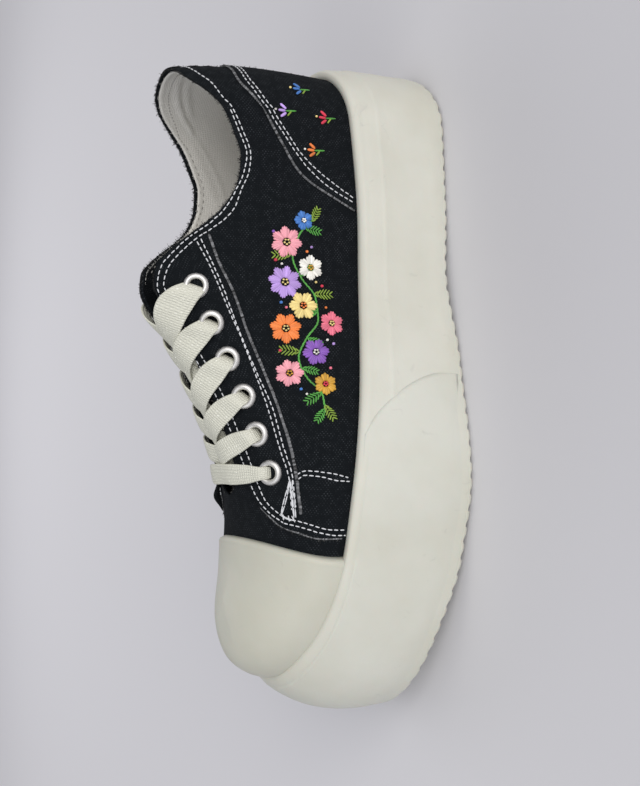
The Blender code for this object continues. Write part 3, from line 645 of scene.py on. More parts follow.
def weave_group():
    group, source, result = new_group(
        "plain_weave", {"Across": "Float", "Along": "Float"}, {"Height": "Float", "CrownHighlight": "Float"}
    )
    link = group.links.new
    where = add_node(group, "ShaderNodeUVMap")
    parts = add_node(group, "ShaderNodeSeparateXYZ")
    sway = add_node(group, "ShaderNodeTexNoise", {"Scale": 0.18, "Detail": 2.0})
    for target in (parts, sway):
        link(where.outputs["UV"], target.inputs["Vector"])
    shift = maths(group, "MULTIPLY", sway.outputs["Fac"], 1.2)
    humps = []
    cells = []
    for axis, pitch in (("X", "Across"), ("Y", "Along")):
        moved = maths(group, "ADD", parts.outputs[axis], shift)
        place = maths(group, "DIVIDE", moved, source.outputs[pitch])
        cells.append(maths(group, "FLOOR", place))
        humps.append(maths(group, "SINE", maths(group, "MULTIPLY", maths(group, "FRACT", place), math.pi)))
    cell = maths(group, "FLOORED_MODULO", maths(group, "ADD", *cells), 2.0)
    bends = [maths(group, "MULTIPLY", hump, 0.6) for hump in humps]
    warp = maths(group, "MULTIPLY", humps[0], maths(group, "ADD", bends[1], 0.4))
    weft = maths(group, "MULTIPLY", humps[1], maths(group, "ADD", bends[0], 0.25))
    over = maths(group, "MULTIPLY", warp, cell)
    under = maths(group, "MULTIPLY", weft, maths(group, "SUBTRACT", 1.0, cell))
    link(maths(group, "ADD", over, under), result.inputs["Height"])
    # CrownHighlight: the peaks of the over-threads, which the cloth material paints lighter as a painted
    # highlight.
    link(maths(group, "POWER", over, 3.0), result.inputs["CrownHighlight"])
    return group


WEAVE = weave_group()


def cloth_material(name, dark, light, across, along, depth):
    made, tree, shader = new_material(name, Roughness=0.92, Specular_IOR_Level=0.1)
    link = tree.links.new
    use = add_node(tree, "ShaderNodeGroup", {"Across": across, "Along": along}, node_tree=WEAVE)
    slub = remap(tree, object_noise(tree, 420.0, 4.0), 0.44, 0.68)
    patchy = remap(tree, object_noise(tree, 26.0, 4.0), 0.30, 0.75, 0.70)
    # The thread crowns are painted lighter: a painted highlight, varied by slub and patchy noise.
    lit = maths(tree, "MULTIPLY", maths(tree, "MULTIPLY", use.outputs["CrownHighlight"], slub), patchy)
    colour = add_node(tree, "ShaderNodeMix", {6: (*dark, 1.0), 7: (*light, 1.0)}, data_type="RGBA")
    link(lit, colour.inputs["Factor"])
    link(colour.outputs[2], shader.inputs["Base Color"])
    link(bumped(tree, use.outputs["Height"], 0.7, depth), shader.inputs["Normal"])
    return made


sock_cloth = cloth_material("sock_cloth", (0.60, 0.58, 0.53), (0.74, 0.72, 0.68), 1.0, 1.0, 0.0002)
sock_x, sock_y = plan_point(LAST, laps, -SOCK_INSET)
middle = np.clip(outline_along(LAST, split_lap(laps)[0]), *SOCK_SPINE)
heart = curve(LAST["plan"], 2, middle)
sock_rows = []
for reach, rise in SOCK_EDGE:
    x = middle + (sock_x - middle) * reach
    sock_rows.append(xyz(x, heart + (sock_y - heart) * reach, curve(CUP_FLOOR, 1, x) + SOCK_LIFT + rise))
sock_points = np.stack(sock_rows)
sock = drape("sock_insole", sock_points, sock_points[..., :2].copy(), WELD)
fit(sock, [sock_cloth], "pale_lining", "insole")


# Canvas upper: vamp and quarters of black cotton canvas, sewn into one shell and lasted into the cup.
# Soft creases cross the vamp where the foot bends, and the quarters are slightly slack.
EYELETS = ((110.3, 107), (124.6, 100.7), (138.9, 94.3), (153.8, 88.1), (168.9, 83.3), (184.3, 78.6))
VENTS = ((93, 62), (115, 62))
EYELET_HOLE = 3.4
HOLE_DEPTH = 0.006
CANVAS_WALL = 0.9
FOOT_RUN = 260.0
black_canvas = cloth_material(
    "black_canvas", (0.0072, 0.0090, 0.0110), (0.070, 0.077, 0.086), 0.82, 0.66, 0.00040
)
cut_edge = new_material("canvas_cut_edge", Roughness=0.9, Base_Color=(0.055, 0.057, 0.062, 1.0))[0]


def on_side(along, height, side, proud=0.0):
    lap = lap_on(along, side)
    climb = climb_at_height(lap, height)
    return cloth(lap, climb, proud), upper_normal(lap, climb)


def run_length(points):
    return np.concatenate([[0.0], np.cumsum(np.linalg.norm(np.diff(points, axis=0), axis=1))])


def line_on(stops, step):
    stops = np.array(stops, float)
    turns = turn_at(LAST, stops[:, 0]) * FOOT_RUN
    knots = run_length(np.stack([turns, stops[:, 1]], axis=1))
    at = np.arange(0.0, knots[-1] + 0.5 * step, step)
    turn = curve(np.stack([knots, turns], axis=1), 1, at) / FOOT_RUN
    return outline_along(LAST, turn), curve(np.stack([knots, stops[:, 1]], axis=1), 1, at)


def read_vectors(items, field):
    values = np.empty(len(items) * 3)
    items.foreach_get(field, values)
    return values.reshape(-1, 3)


def edit_only(piece, kind, chosen):
    pick(piece)
    bpy.context.tool_settings.mesh_select_mode = (kind == "vertices", False, kind == "polygons")
    bpy.ops.object.mode_set(mode="EDIT")
    bpy.ops.mesh.select_all(action="DESELECT")
    bpy.ops.object.mode_set(mode="OBJECT")
    getattr(piece.data, kind).foreach_set("select", chosen)
    bpy.ops.object.mode_set(mode="EDIT")


def punch(piece, spots, radius):
    centres = read_vectors(piece.data.polygons, "center")
    gone = np.zeros(len(centres), bool)
    for point, normal in spots:
        away = centres - to_frame(point)
        depth = away @ normal
        apart = np.linalg.norm(away - depth[:, None] * normal, axis=1)
        gone |= (apart < radius * 0.001) & (np.abs(depth) < HOLE_DEPTH)
    edit_only(piece, "polygons", gone)
    bpy.ops.mesh.delete(type="FACE")
    bpy.ops.object.mode_set(mode="OBJECT")


def shell_climb(shares, top):
    return np.where(shares[:, None] < 0, shares[:, None], shares[:, None] * top)


eyelet_spots = [on_side(along, height, side) for side in (1, -1) for along, height in EYELETS]
vent_spots = [on_side(along, height, -1) for along, height in VENTS]
canvas_laps = np.round(np.linspace(0.0, 2.0, 441), 6)
canvas_shares = np.concatenate([np.linspace(-0.30, 0.0, 4)[:-1], np.linspace(0.0, 1.0, 64)])
canvas_points = cloth(canvas_laps, shell_climb(canvas_shares, rim_climb(canvas_laps)), 0.0)
canvas = drape("canvas_upper", canvas_points, None, WELD)
punch(canvas, eyelet_spots + vent_spots, EYELET_HOLE)
thicken(canvas, CANVAS_WALL, rim=1)
fit(canvas, [black_canvas, cut_edge], "black_canvas", "upper")


# Lining: a pale woven cotton bonded inside the canvas, stopping a little below the raw collar edge.
# It has its own soft puckers, deeper at the heel.
FACING_FOOT = (
    (84, 103.5), (90, 102.8), (114, 93.4), (145, 82), (180, 72.4), (201, 70.4), (214, 66.0), (268, 75.0),
)
FACING_START = 84.0
LINING_FOLDS = (
    (0.00, 0.91, 0.07, 0.88, 0.015, 0.8), (0.03, 0.84, 0.17, 0.74, 0.020, 1.4),
    (0.05, 0.73, 0.13, 0.67, 0.018, 1.0), (0.22, 0.72, 0.31, 0.60, 0.030, 0.40),
    (0.33, 0.48, 0.37, 0.62, 0.030, 0.35), (1.72, 0.62, 1.80, 0.70, 0.030, 0.45),
    (1.83, 0.82, 1.95, 0.76, 0.020, 1.3), (1.88, 0.62, 1.97, 0.66, 0.020, 0.50),
)
FOLD_STRETCH = 1.6
LINING_BELOW = 0.012
LINING_DEPTH = 1.25
LINING_HOLE = 3.6
LINING_WALL = 0.5
lining_cloth = cloth_material("lining_cloth", (0.71, 0.69, 0.645), (0.92, 0.90, 0.865), 0.95, 0.85, 0.00022)
lining_laps = np.round(np.linspace(0.0, 2.0, 301), 6)
lining_foot = plan_point(LAST, lining_laps)[0]
lining_top = rim_climb(lining_laps) - LINING_BELOW
facing = climb_at_height(lining_laps, curve(FACING_FOOT, 1, lining_foot))
lining_top = np.where(lining_foot > FACING_START, np.minimum(lining_top, facing), lining_top)
lining_shares = np.linspace(-0.9, 1.0, 72)
pucker = np.zeros((len(lining_shares), len(lining_laps)))
for lap_a, share_a, lap_b, share_b, width, depth in LINING_FOLDS:
    run_lap = (lap_b - lap_a) * FOLD_STRETCH
    run_share = share_b - share_a
    away_lap = (lining_laps - lap_a) * FOLD_STRETCH
    away_share = lining_shares[:, None] - share_a
    step = np.clip((away_lap * run_lap + away_share * run_share) / (run_lap**2 + run_share**2), 0.0, 1.0)
    gap = np.hypot(away_lap - step * run_lap, away_share - step * run_share)
    pucker -= depth * np.exp(-((gap / width) ** 2))
pucker *= np.clip((0.92 - lining_shares[:, None]) / 0.10, 0.0, 1.0)
hem = 0.35 * np.exp(-(((lining_shares[:, None] - 0.975) / 0.02) ** 2))
lining_points = cloth(lining_laps, shell_climb(lining_shares, lining_top), pucker - hem - LINING_DEPTH)
lining = drape("lining_shell", lining_points, None, WELD)
punch(lining, eyelet_spots + vent_spots, LINING_HOLE)
thicken(lining, LINING_WALL)
fit(lining, [lining_cloth], "pale_lining")


# Toe cap: a smooth shell of cream rubber over the front of the vamp, with a rolled rear edge.
# Its foot is tucked behind the lip of the platform.
CAP_REAR = 217.6
CAP_ARCH = 7.1
CAP_PROUD = 1.75
CAP_FLARE = 1.3
CAP_WALL = 1.2
# The cap's rubber is tinted darker than the platform's, though it is the same rubber: painted shade for the
# cap's side that turns away from the light.
CAP_SHADED_TINT = (0.575, 0.571, 0.494, 1.0)
CROWN_SMOOTH = 0.007


def turn_of(along):
    return float(turn_at(LAST, np.array(along)))


cap_steps = np.linspace(0.0, 1.0, 151)
gap = np.minimum(cap_steps, 1.0 - cap_steps)
inch = np.clip(gap / 0.012, 0.0, 1.0)
roll = 0.22 * np.exp(-(((gap - 0.014) / 0.006) ** 2)) + 0.05
cap_rows = []
for climb in np.concatenate([[-0.05, -0.02], np.linspace(0.0, 1.0, 52)]):
    raised = max(0.0, climb)
    start = turn_of(CAP_REAR - CAP_ARCH * math.sin(0.5 * math.pi * raised) ** 2)
    reach = start + (2.0 - 2.0 * start) * cap_steps
    flare = CAP_FLARE * max(0.0, 1.0 - raised / 0.40) ** 1.6
    proud = (CAP_PROUD + flare) * np.sqrt(inch * (2.0 - inch)) + roll
    cap_rows.append(upper_base(reach, climb) + upper_normal(reach, climb) * proud[:, None])
cap = drape("toe_cap_shell", np.stack(cap_rows), None, WELD)
apart = read_vectors(cap.data.vertices, "co") - to_frame(upper_base(1.0, 1.0))
edit_only(cap, "vertices", np.hypot(apart[:, 0], apart[:, 1]) < CROWN_SMOOTH)
bpy.ops.mesh.vertices_smooth(factor=0.5, repeat=40)
bpy.ops.object.mode_set(mode="OBJECT")
thicken(cap, CAP_WALL)
fit(cap, [rubber_material("cap_rubber", CAP_SHADED_TINT)], "cream_rubber", "toe_cap")


# Heel counter: a second layer of canvas round the heel, cut on a slant and stitched down with two rows.
# Its raw edge is left open, so the grey core of the cloth shows.
HEEL_COUNTER = (
    (10.5, 89.8), (22, 90.0), (24.9, 89.5), (32.3, 84.7), (42, 78.3), (51.4, 72.7), (60.8, 66.5),
    (64.8, 62), (69.6, 53), (75.5, 40.6),
)
COUNTER_FRONT = 75.4
COUNTER_FOOT = -0.06
COUNTER_PROUD = 0.85
LAYER_WALL = 0.75
LAYER_ROWS = np.linspace(0.0, 1.0, 24)[:, None]


def layer(name, lap, climb, proud, nodes=(), spots=(), wall=LAYER_WALL):
    piece = drape(name, cloth(lap, climb, proud))
    if spots:
        punch(piece, spots, EYELET_HOLE)
    thicken(piece, wall, rim=1)
    fit(piece, [black_canvas, cut_edge], "black_canvas", *nodes)


counter_end = turn_of(COUNTER_FRONT)
counter_laps = np.linspace(-counter_end, counter_end, 121)
counter_high = climb_at_height(counter_laps, curve(HEEL_COUNTER, 1, plan_point(LAST, counter_laps)[0]))
counter_climb = COUNTER_FOOT + (counter_high - COUNTER_FOOT) * LAYER_ROWS
layer("heel_counter_panel", counter_laps, counter_climb, COUNTER_PROUD, ["heel_counter"])


# Heel strip: a tape of canvas over the join behind the heel, from the lip to the collar.
# It is sewn down inside both raw edges, which are left to fray.
STRIP_LAP = 0.034
STRIP_BELOW = 0.002
STRIP_WALL = 0.6


def strip_lift(lap, climb):
    height = upper_base(lap, climb)[..., 2]
    under = 0.85 * np.clip((91.0 - height) / 1.6, 0.0, 1.0)
    return under + 0.62 + 0.10 * np.sin(height * 0.9 + lap * 90.0)


strip_laps = np.linspace(-STRIP_LAP, STRIP_LAP, 33)
strip_climb = np.linspace(0.0, 1.0, 90)[:, None] * (rim_climb(strip_laps) - STRIP_BELOW)
layer("heel_strip", strip_laps, strip_climb, strip_lift(strip_laps, strip_climb), wall=STRIP_WALL)


# Quarter fronts: the fore edges of the side panels, lapped over the vamp and sewn down with two rows.
# The raw edge drops from the throat's foot to the lip; the panel's rear runs into the quarter's cloth.
FORE_EDGE = (
    (0, 210.0, 52.0), (1, 210.3, 55.8), (2, 210.4, 62.6), (3, 208.1, 70.6), (4, 205.3, 75.5),
    (5, 199.7, 79.4), (6, 194.0, 82.0),
)
FORE_CUT = [row[1:] for row in FORE_EDGE[1:]]
FORE_REAR = 180.0


def fore_proud(share):
    return -0.35 + 1.1 * share**1.5


fore_rows = np.linspace(0.0, 6.0, 49)[:, None]
fore_steps = np.linspace(0.0, 1.0, 33)
fore_along = FORE_REAR + (curve(FORE_EDGE, 1, fore_rows) - FORE_REAR) * fore_steps
rear_height = 50.0 + 35.0 * fore_rows / 6.0
fore_height = rear_height + (curve(FORE_EDGE, 2, fore_rows) - rear_height) * fore_steps
for name, side in (("quarter_front_outer", 1), ("quarter_front_inner", -1)):
    fore_lap = lap_on(fore_along, side)
    fore_climb = climb_at_height(fore_lap, fore_height)
    layer(name, fore_lap[:, ::-side], fore_climb[:, ::-side], fore_proud(fore_steps[::-side]))


# Eyestays: canvas facings that carry the eyelets, sewn over the quarters from collar to throat's foot.
# Their lower edge runs straight back to the collar, and their raw edges show a grey core.
EYESTAY_FOOT = (
    (89.6, 102.8), (99.8, 99.4), (114, 93.4), (130.3, 87.8), (144.9, 82), (158, 77.5), (180.1, 72.4),
    (192.6, 71), (200.9, 70.4),
)
FRONT_EDGE = ((180, 200), (189, 84.0), (195, 82), (199.7, 79.4), (205.3, 75.5), (208.1, 70.6))
STAY_ENDS = (89.6, 200.9)
STAY_PROUD = 0.8
CORNER_CURL = 3.2
for name, side, node in (("eyestay_outer", 1, "eyestay_lateral"), ("eyestay_inner", -1, "eyestay_medial")):
    stay_along = np.linspace(*STAY_ENDS, 150)[::-side]
    stay_laps = lap_on(stay_along, side)
    low = climb_at_height(stay_laps, curve(EYESTAY_FOOT, 1, stay_along))
    front = climb_at_height(stay_laps, curve(FRONT_EDGE, 1, stay_along))
    rim = rim_climb(stay_laps)
    high = np.maximum(np.where(stay_along < 186.0, rim, np.minimum(rim, front)), low + 0.01)
    curl = CORNER_CURL * np.exp(-(((stay_along - 194.0) / 5.0) ** 2)) * (side < 0)
    stay_proud = STAY_PROUD + curl * LAYER_ROWS**10
    layer(name, stay_laps, low + (high - low) * LAYER_ROWS, stay_proud, [node], eyelet_spots)


# Tongue: a plain tongue of the same canvas, sewn to the vamp inside the throat and lying under the laces.
# It is left flat and unpadded, and its top shows above the laces.
TONGUE = (
    (99.5, 9, 10.8), (100.5, 13, 10.6), (103, 17, 10.2), (107, 19.5, 9.8), (130, 19, 8), (160, 18, 6.2),
    (190, 17, 4.4), (206, 16, 2.15),
)
TONGUE_WALL = 1.6
TONGUE_ARCH = 0.033
tongue_along = np.concatenate([np.linspace(99.5, 107.0, 16)[:-1], np.linspace(107.0, 206.0, 80)])[::-1]
tongue_across = curve(TONGUE, 1, tongue_along) * np.linspace(1.0, -1.0, 27)[:, None]
tongue_points = instep(tongue_along, 0.0, -curve(TONGUE, 2, tongue_along)) + xyz(
    0.0,
    tongue_across,
    0.5 * np.sin(tongue_along * 0.21) * np.sin(tongue_across * 0.23 + 0.6) - TONGUE_ARCH * tongue_across**2,
)
tongue = drape("canvas_tongue", tongue_points)
thicken(tongue, TONGUE_WALL, offset=0.0, rim=1)
fit(tongue, [black_canvas, cut_edge], "black_canvas", "tongue")


# Eyelets: rolled nickel rings, six a side, and two plain vents low on the inner side.
# One ring is turned, then copied and pressed through the canvas at each place.
RING = (
    (2.75, -2.6), (2.75, 0.5), (2.95, 1.15), (3.5, 1.55), (4.1, 1.5), (4.7, 1.1), (5.1, 0.45),
    (5.15, -0.1), (4.9, -0.2), (3.3, -0.2), (3.1, -0.5), (3.1, -2.6), (2.75, -2.6),
)
RING_STEPS = 36
EYELET_PROUD = 0.8
VENT_PROUD = 0.1
VENT_SCALE = 1.08
nickel, tree, shader = new_material("nickel_plate", Metallic=1.0, Base_Color=(0.74, 0.725, 0.70, 1.0))
haze = remap(tree, object_noise(tree, 700.0, 5.0), 0.3, 0.7, 0.40, 0.58)
tree.links.new(haze, shader.inputs["Roughness"])

deselect()
bpy.ops.mesh.primitive_grid_add(x_subdivisions=RING_STEPS, y_subdivisions=len(RING) - 1, size=1.0)
ring_master = bpy.context.object
around = np.linspace(0.0, 2.0 * np.pi, RING_STEPS + 1)
ring_points = np.array([[(r * math.cos(a), r * math.sin(a), h) for a in around] for r, h in RING])
ring_master.data.vertices.foreach_set("co", ring_points.ravel())
ring_master.data.update()
weld_doubles(1e-5)
bpy.ops.object.shade_smooth()


def stamp(name, point, normal, scale, node):
    copy = ring_master.copy()
    copy.data = ring_master.data.copy()
    copy.name = name
    copy.data.name = name
    bpy.context.scene.collection.objects.link(copy)
    forward = unit(np.array((1.0, 0.0, 0.0)) - normal * normal[0])
    axes = np.stack([forward, np.cross(normal, forward), normal])
    local = read_vectors(copy.data.vertices, "co") * scale
    copy.data.vertices.foreach_set("co", to_frame(point + local @ axes).ravel())
    copy.data.update()
    fit(copy, [nickel], "nickel", node)


for side, hand, node_hand in ((1, "outer", "lateral"), (-1, "inner", "medial")):
    for number, (along, height) in enumerate(EYELETS, 1):
        point, normal = on_side(along, height, side, EYELET_PROUD)
        node = "eyelet_%s_%d" % (node_hand, number)
        stamp("eyelet_%s_%d" % (hand, number), point, normal, 1.0, node)
for number, (along, height) in enumerate(VENTS, 1):
    point, normal = on_side(along, height, -1, VENT_PROUD)
    stamp("vent_inner_%d" % number, point, normal, VENT_SCALE, "vent_%d" % number)
bpy.data.objects.remove(ring_master)


# Laces: one flat cream cotton lace, criss-crossed; each strap leaves an eyelet over the facing.
# It goes under the facing on the other side and up through the next eyelet; a bar joins the lowest pair.
LACE_WIDTH = 8.6
LACE_DEPTH = 1.25
LACE_STEPS = 64
BAR_DEPTH = 1.3
SLANTS = (0.86, 1.08, 1.02, 1.40, 2.5)
lace_cloth = cloth_material("lace_cloth", (0.72, 0.715, 0.615), (0.97, 0.965, 0.875), 1.25, 1.15, 0.00055)


def smooth_path(stops, count):
    stops = np.array(stops, float)
    knots = np.concatenate([[0.0], np.cumsum(np.linalg.norm(np.diff(stops[:, :2], axis=0), axis=1) + 0.5)])
    at = np.linspace(0.0, knots[-1], count)
    return np.stack([curve(np.stack([knots, column], axis=1), 1, at) for column in stops.T], axis=1)


def strap(name, stops):
    path = smooth_path(stops, LACE_STEPS)
    run = unit(np.gradient(path[:, :2], axis=0))
    angle = np.linspace(0.0, 2.0 * np.pi, 21)
    wide = np.sign(np.cos(angle)) * np.abs(np.cos(angle)) ** 0.7
    thick = np.sign(np.sin(angle)) * np.abs(np.sin(angle)) ** 0.8
    rows = []
    for (along, across, lift, width, depth), (run_along, run_across) in zip(path, run):
        offset = wide * width * 0.5
        lifts = lift + thick * depth * 0.5
        rows.append(instep(along - run_across * offset, across + run_along * offset, lifts))
    caps = [np.repeat(row.mean(axis=0)[None], len(angle), axis=0) for row in (rows[0], rows[-1])]
    points = np.stack([caps[0], *rows, caps[1]])
    uv = xyz(wide * 0.5 * LACE_WIDTH + 40.0, run_length(points.mean(axis=1))[:, None])
    return drape(name, points, uv, WELD)


def eyelet_across(number):
    along, height = EYELETS[number]
    return float(on_side(along, height, 1)[0][1] - curve(LAST["plan"], 2, np.array(along)))


for number, slant in enumerate(SLANTS):
    start_along, start_across = EYELETS[number][0], eyelet_across(number)
    end_along, end_across = EYELETS[number + 1][0], eyelet_across(number + 1)
    for hand, over, word in ((1, 0.9, "outer"), (-1, -0.2, "inner")):
        stops = []
        for across, lift, width, depth in (
            (start_across + 0.4, -2.2, 4.8, 2.0),
            (start_across - 0.3, 1.2, 5.0, 2.0),
            (start_across - 2.3, 3.3, 6.4, 1.8),
            (start_across * 0.66, 2.7, 8.2, LACE_DEPTH),
            (start_across * 0.44, 2.3 + 0.5 * over, LACE_WIDTH, LACE_DEPTH),
            (start_across * 0.22, 0.9 + over, LACE_WIDTH, LACE_DEPTH),
            (0.0, -0.9 + over, LACE_WIDTH, LACE_DEPTH),
            (-5.0, -2.0 + 0.6 * over, LACE_WIDTH, LACE_DEPTH),
        ):
            along = start_along + (start_across - across) / slant
            stops.append((along, hand * across, lift, width, depth))
        stops.append((stops[-1][0] + 2.4, -hand * 12.0, -3.2, 8.0, 1.2))
        stops.append((end_along + 3.0, -hand * (end_across - 5.0), -3.6, 6.6, 1.4))
        stops.append((end_along, -hand * end_across, -2.4, 4.6, 2.0))
        nodes = ["lace_crossing_%d" % (number + 1)] if hand > 0 else []
        fit(strap("lace_%s_%d" % (word, number + 1), stops), [lace_cloth], "cream_lace", *nodes)
bar_along, bar_across = EYELETS[5][0], eyelet_across(5)
half_bar = [
    (bar_across, -2.2, 4.6, 2.0),
    (bar_across - 0.6, 1.2, 4.8, 2.0),
    (bar_across - 3.0, 3.2, 5.6, 1.8),
    (bar_across - 8.0, 3.0, 7.6, BAR_DEPTH),
    (9.0, 2.4, LACE_WIDTH, BAR_DEPTH),
]
other_half = [(-across, *size) for across, *size in half_bar[::-1]]
bar_stops = [(bar_along, *stop) for stop in [*half_bar, (0.0, 1.2, LACE_WIDTH, BAR_DEPTH), *other_half]]
fit(strap("lace_bar_lowest", bar_stops), [lace_cloth], "cream_lace", "lace_bar")


# Stitching: white cotton thread in lockstitch rows, two side by side along each seam.
# One stitch is shaped once and laid along every row; a dense bar tack closes the seam by the throat's foot.
STITCH_PITCH = 2.5
STITCH_SHARE = 0.74
STITCH_SIZE = (0.54, 0.5)
SEAM_STEP = 0.3
SEAM_PROUD = 0.14
STRIP_SEAM = STRIP_LAP - 0.0075
LINING_SEAM = -1.92
LINING_STITCH = (0.42, 0.35)
TACK_STITCH = 3.2
TACK_SIZE = (0.55, 0.55)
COLLAR_OUTER = (
    (10.5, 108.0), (14.5, 107.5), (20.4, 105.3), (26.7, 101.3), (34.6, 97.4), (39.7, 93.4), (48, 89.6),
    (56.9, 86.6), (63.7, 87.3), (70.9, 90.2), (78.8, 92.9), (83, 96.2), (87.1, 101.2), (91.6, 107.1),
    (97.5, 112.9), (103.5, 116.8), (109.0, 118.0), (115.2, 115.4), (126.0, 108.9), (137.7, 102.2),
    (151.4, 95), (165.2, 89.3), (177.7, 84.7), (189.5, 81.2), (195.4, 79.2), (200.1, 76.2),
    (202.5, 74.1),
)
COLLAR_INNER = (
    (39.2, 94.9), (47.4, 91.4), (57, 88.1), (64.9, 89.6), (71.6, 92.4), (78.8, 96.3), (85.3, 102.4),
    (89.3, 107.7), (96.2, 114.5), (102.5, 118.9), (109.5, 120.1), (116.3, 117.2), (127.0, 110.5),
    (138.6, 103.8), (152.2, 96.6), (165.9, 90.9), (178.3, 86.3), (190.1, 82.7), (196.3, 80.4),
    (201.2, 77.4), (204.2, 74.6),
)
SEAM_ROWS = (
    ("collar_row_a", COLLAR_OUTER), ("collar_row_b", COLLAR_INNER),
    (
        "facing_row_a",
        (
            (92.5, 106.6), (100.7, 102.6), (116.2, 96.5), (129.1, 90.8), (143.1, 85.4), (156.8, 80.8),
            (175.4, 76), (186.9, 73.2), (199.0, 72.4),
        ),
    ),
    (
        "facing_row_b",
        (
            (91.4, 105.2), (100.8, 101.1), (119, 94.3), (133.7, 88.7), (146.5, 83.4), (158, 78.9),
            (174.9, 74.9), (184.9, 72.4), (198.0, 71.2),
        ),
    ),
    ("quarter_row_a", ((185.4, 71.2), (183.8, 68.5), (184.3, 64.2), (185.1, 59.2), (186.9, 52.9))),
    ("quarter_row_b", ((187.2, 70.8), (185.6, 68.9), (186.4, 63), (187.9, 57.5), (188.4, 52.3))),
    ("fore_row_a", ((202.5, 74.1), (203.2, 71.3), (205.0, 66.6), (206.8, 61.1), (207.2, 54.2))),
    ("fore_row_b", ((204.2, 74.6), (206.3, 68.7), (208.2, 63.3), (209.1, 58.6), (209.2, 54.4))),
    (
        "counter_row_a",
        (
            (10.5, 85.9), (15.0, 86.2), (22.2, 85.7), (30.9, 82.1), (38.4, 77.1), (46.5, 71.5),
            (54.1, 65.8), (60.3, 58.8), (65.7, 50.3), (70.6, 41.4),
        ),
    ),
    (
        "counter_row_b",
        (
            (10.5, 87.5), (15.0, 87.9), (22.3, 87.6), (31, 84.2), (38.5, 79), (46.6, 73.4),
            (54.2, 67.8), (60.5, 62.1), (67.2, 53), (72.5, 41.4),
        ),
    ),
)
TACK_LINES = (
    ((186.9, 72.9), (202.2, 71.9)), ((187.2, 72.3), (202.4, 71.2)), ((188.0, 72.7), (201.6, 71.5)),
    ((187.6, 73.1), (200.6, 75.2)), ((189.0, 73.2), (201.4, 75.0)), ((200.4, 75.4), (202.6, 73.6)),
    ((201.0, 75.0), (203.2, 72.4)), ((201.6, 74.6), (203.4, 71.4)), ((200.6, 74.6), (203.0, 74.4)),
    ((201.2, 73.4), (203.6, 73.0)), ((201.4, 72.4), (203.6, 71.6)),
)
RANDOM = np.random.default_rng(7)


def thread_shape(segments, rings):
    deselect()
    bpy.ops.mesh.primitive_uv_sphere_add(segments=segments, ring_count=rings, radius=1.0)
    master = bpy.context.object
    for vertex in master.data.vertices:
        vertex.co = Vector((vertex.co.z, vertex.co.x, vertex.co.y))
        vertex.co.x = math.copysign(abs(vertex.co.x) ** 0.6, vertex.co.x)
    vertices = np.array([vertex.co for vertex in master.data.vertices])
    faces = [list(face.vertices) for face in master.data.polygons]
    bpy.data.objects.remove(master)
    return vertices, faces


STITCH = thread_shape(8, 6)


def sew(name, starts, ends, normals, width, height, colours=None, shape=STITCH):
    vertices, template = shape
    along = unit(ends - starts)
    side = unit(np.cross(normals, along))
    up = np.cross(along, side)
    half = 0.5 * np.linalg.norm(ends - starts, axis=1)
    points = 0.5 * (starts + ends)[:, None]
    for column, size, axis in ((0, half, along), (1, 0.5 * width, side), (2, 0.5 * height, up)):
        size = np.broadcast_to(size, half.shape)
        points = points + vertices[None, :, column, None] * size[:, None, None] * axis[:, None]
    count = len(vertices)
    faces = [[index + copy * count for index in face] for copy in range(len(starts)) for face in template]
    mesh = bpy.data.meshes.new(name)
    mesh.from_pydata(to_frame(points.reshape(-1, 3)), [], faces)
    if colours is not None:
        paint = mesh.attributes.new("thread", "FLOAT_COLOR", "POINT")
        rgba = np.repeat(np.concatenate([colours, np.ones((len(colours), 1))], axis=1), count, axis=0)
        paint.data.foreach_set("color", rgba.ravel())
    mesh.polygons.foreach_set("use_smooth", np.ones(len(mesh.polygons), bool))
    mesh.update()
    piece = bpy.data.objects.new(name, mesh)
    bpy.context.scene.collection.objects.link(piece)
    return piece


def layer_top(along, height):
    stay = (along > STAY_ENDS[0]) & (along < STAY_ENDS[1]) & (height > curve(EYESTAY_FOOT, 1, along))
    heel = (along < COUNTER_FRONT) & (height < curve(HEEL_COUNTER, 1, along))
    edge = np.interp(height, [row[2] for row in FORE_EDGE], [row[1] for row in FORE_EDGE])
    share = np.clip((along - FORE_REAR) / (edge - FORE_REAR), 0.0, 1.0)
    fore = np.where(along > FORE_REAR, np.maximum(0.0, fore_proud(share)), 0.0)
    strip = np.where((height > 95.0) & (turn_at(LAST, along) < STRIP_LAP), 0.66, 0.0)
    flat = np.where(stay, STAY_PROUD, np.where(heel, COUNTER_PROUD, 0.0))
    return np.maximum(np.maximum(flat, fore), strip)


def spread(values, run, where):
    return np.stack([np.interp(where, run, column) for column in values.T], axis=1)


def seam_line(stops, side):
    along, height = line_on(stops, SEAM_STEP)
    points, normals = on_side(along, height, side, layer_top(along, height) + SEAM_PROUD)
    run = run_length(points)
    places = np.arange(0.0, run[-1], STITCH_PITCH)
    length = STITCH_SHARE * STITCH_PITCH
    starts = spread(points, run, places)
    ends = spread(points, run, np.minimum(places + length, run[-1]))
    keep = np.linalg.norm(ends - starts, axis=1) > 0.4
    return starts[keep], ends[keep], unit(spread(normals, run, places + 0.5 * length))[keep]


def thread_material(name, dark, light):
    made, tree, shader = new_material(name, Roughness=0.7)
    fibre = object_noise(tree, 2600.0, 2.0)
    tree.links.new(ramp(tree, fibre, (*dark, 1.0), (*light, 1.0)), shader.inputs["Base Color"])
    tree.links.new(bumped(tree, fibre, 0.5, 0.0002), shader.inputs["Normal"])
    return made


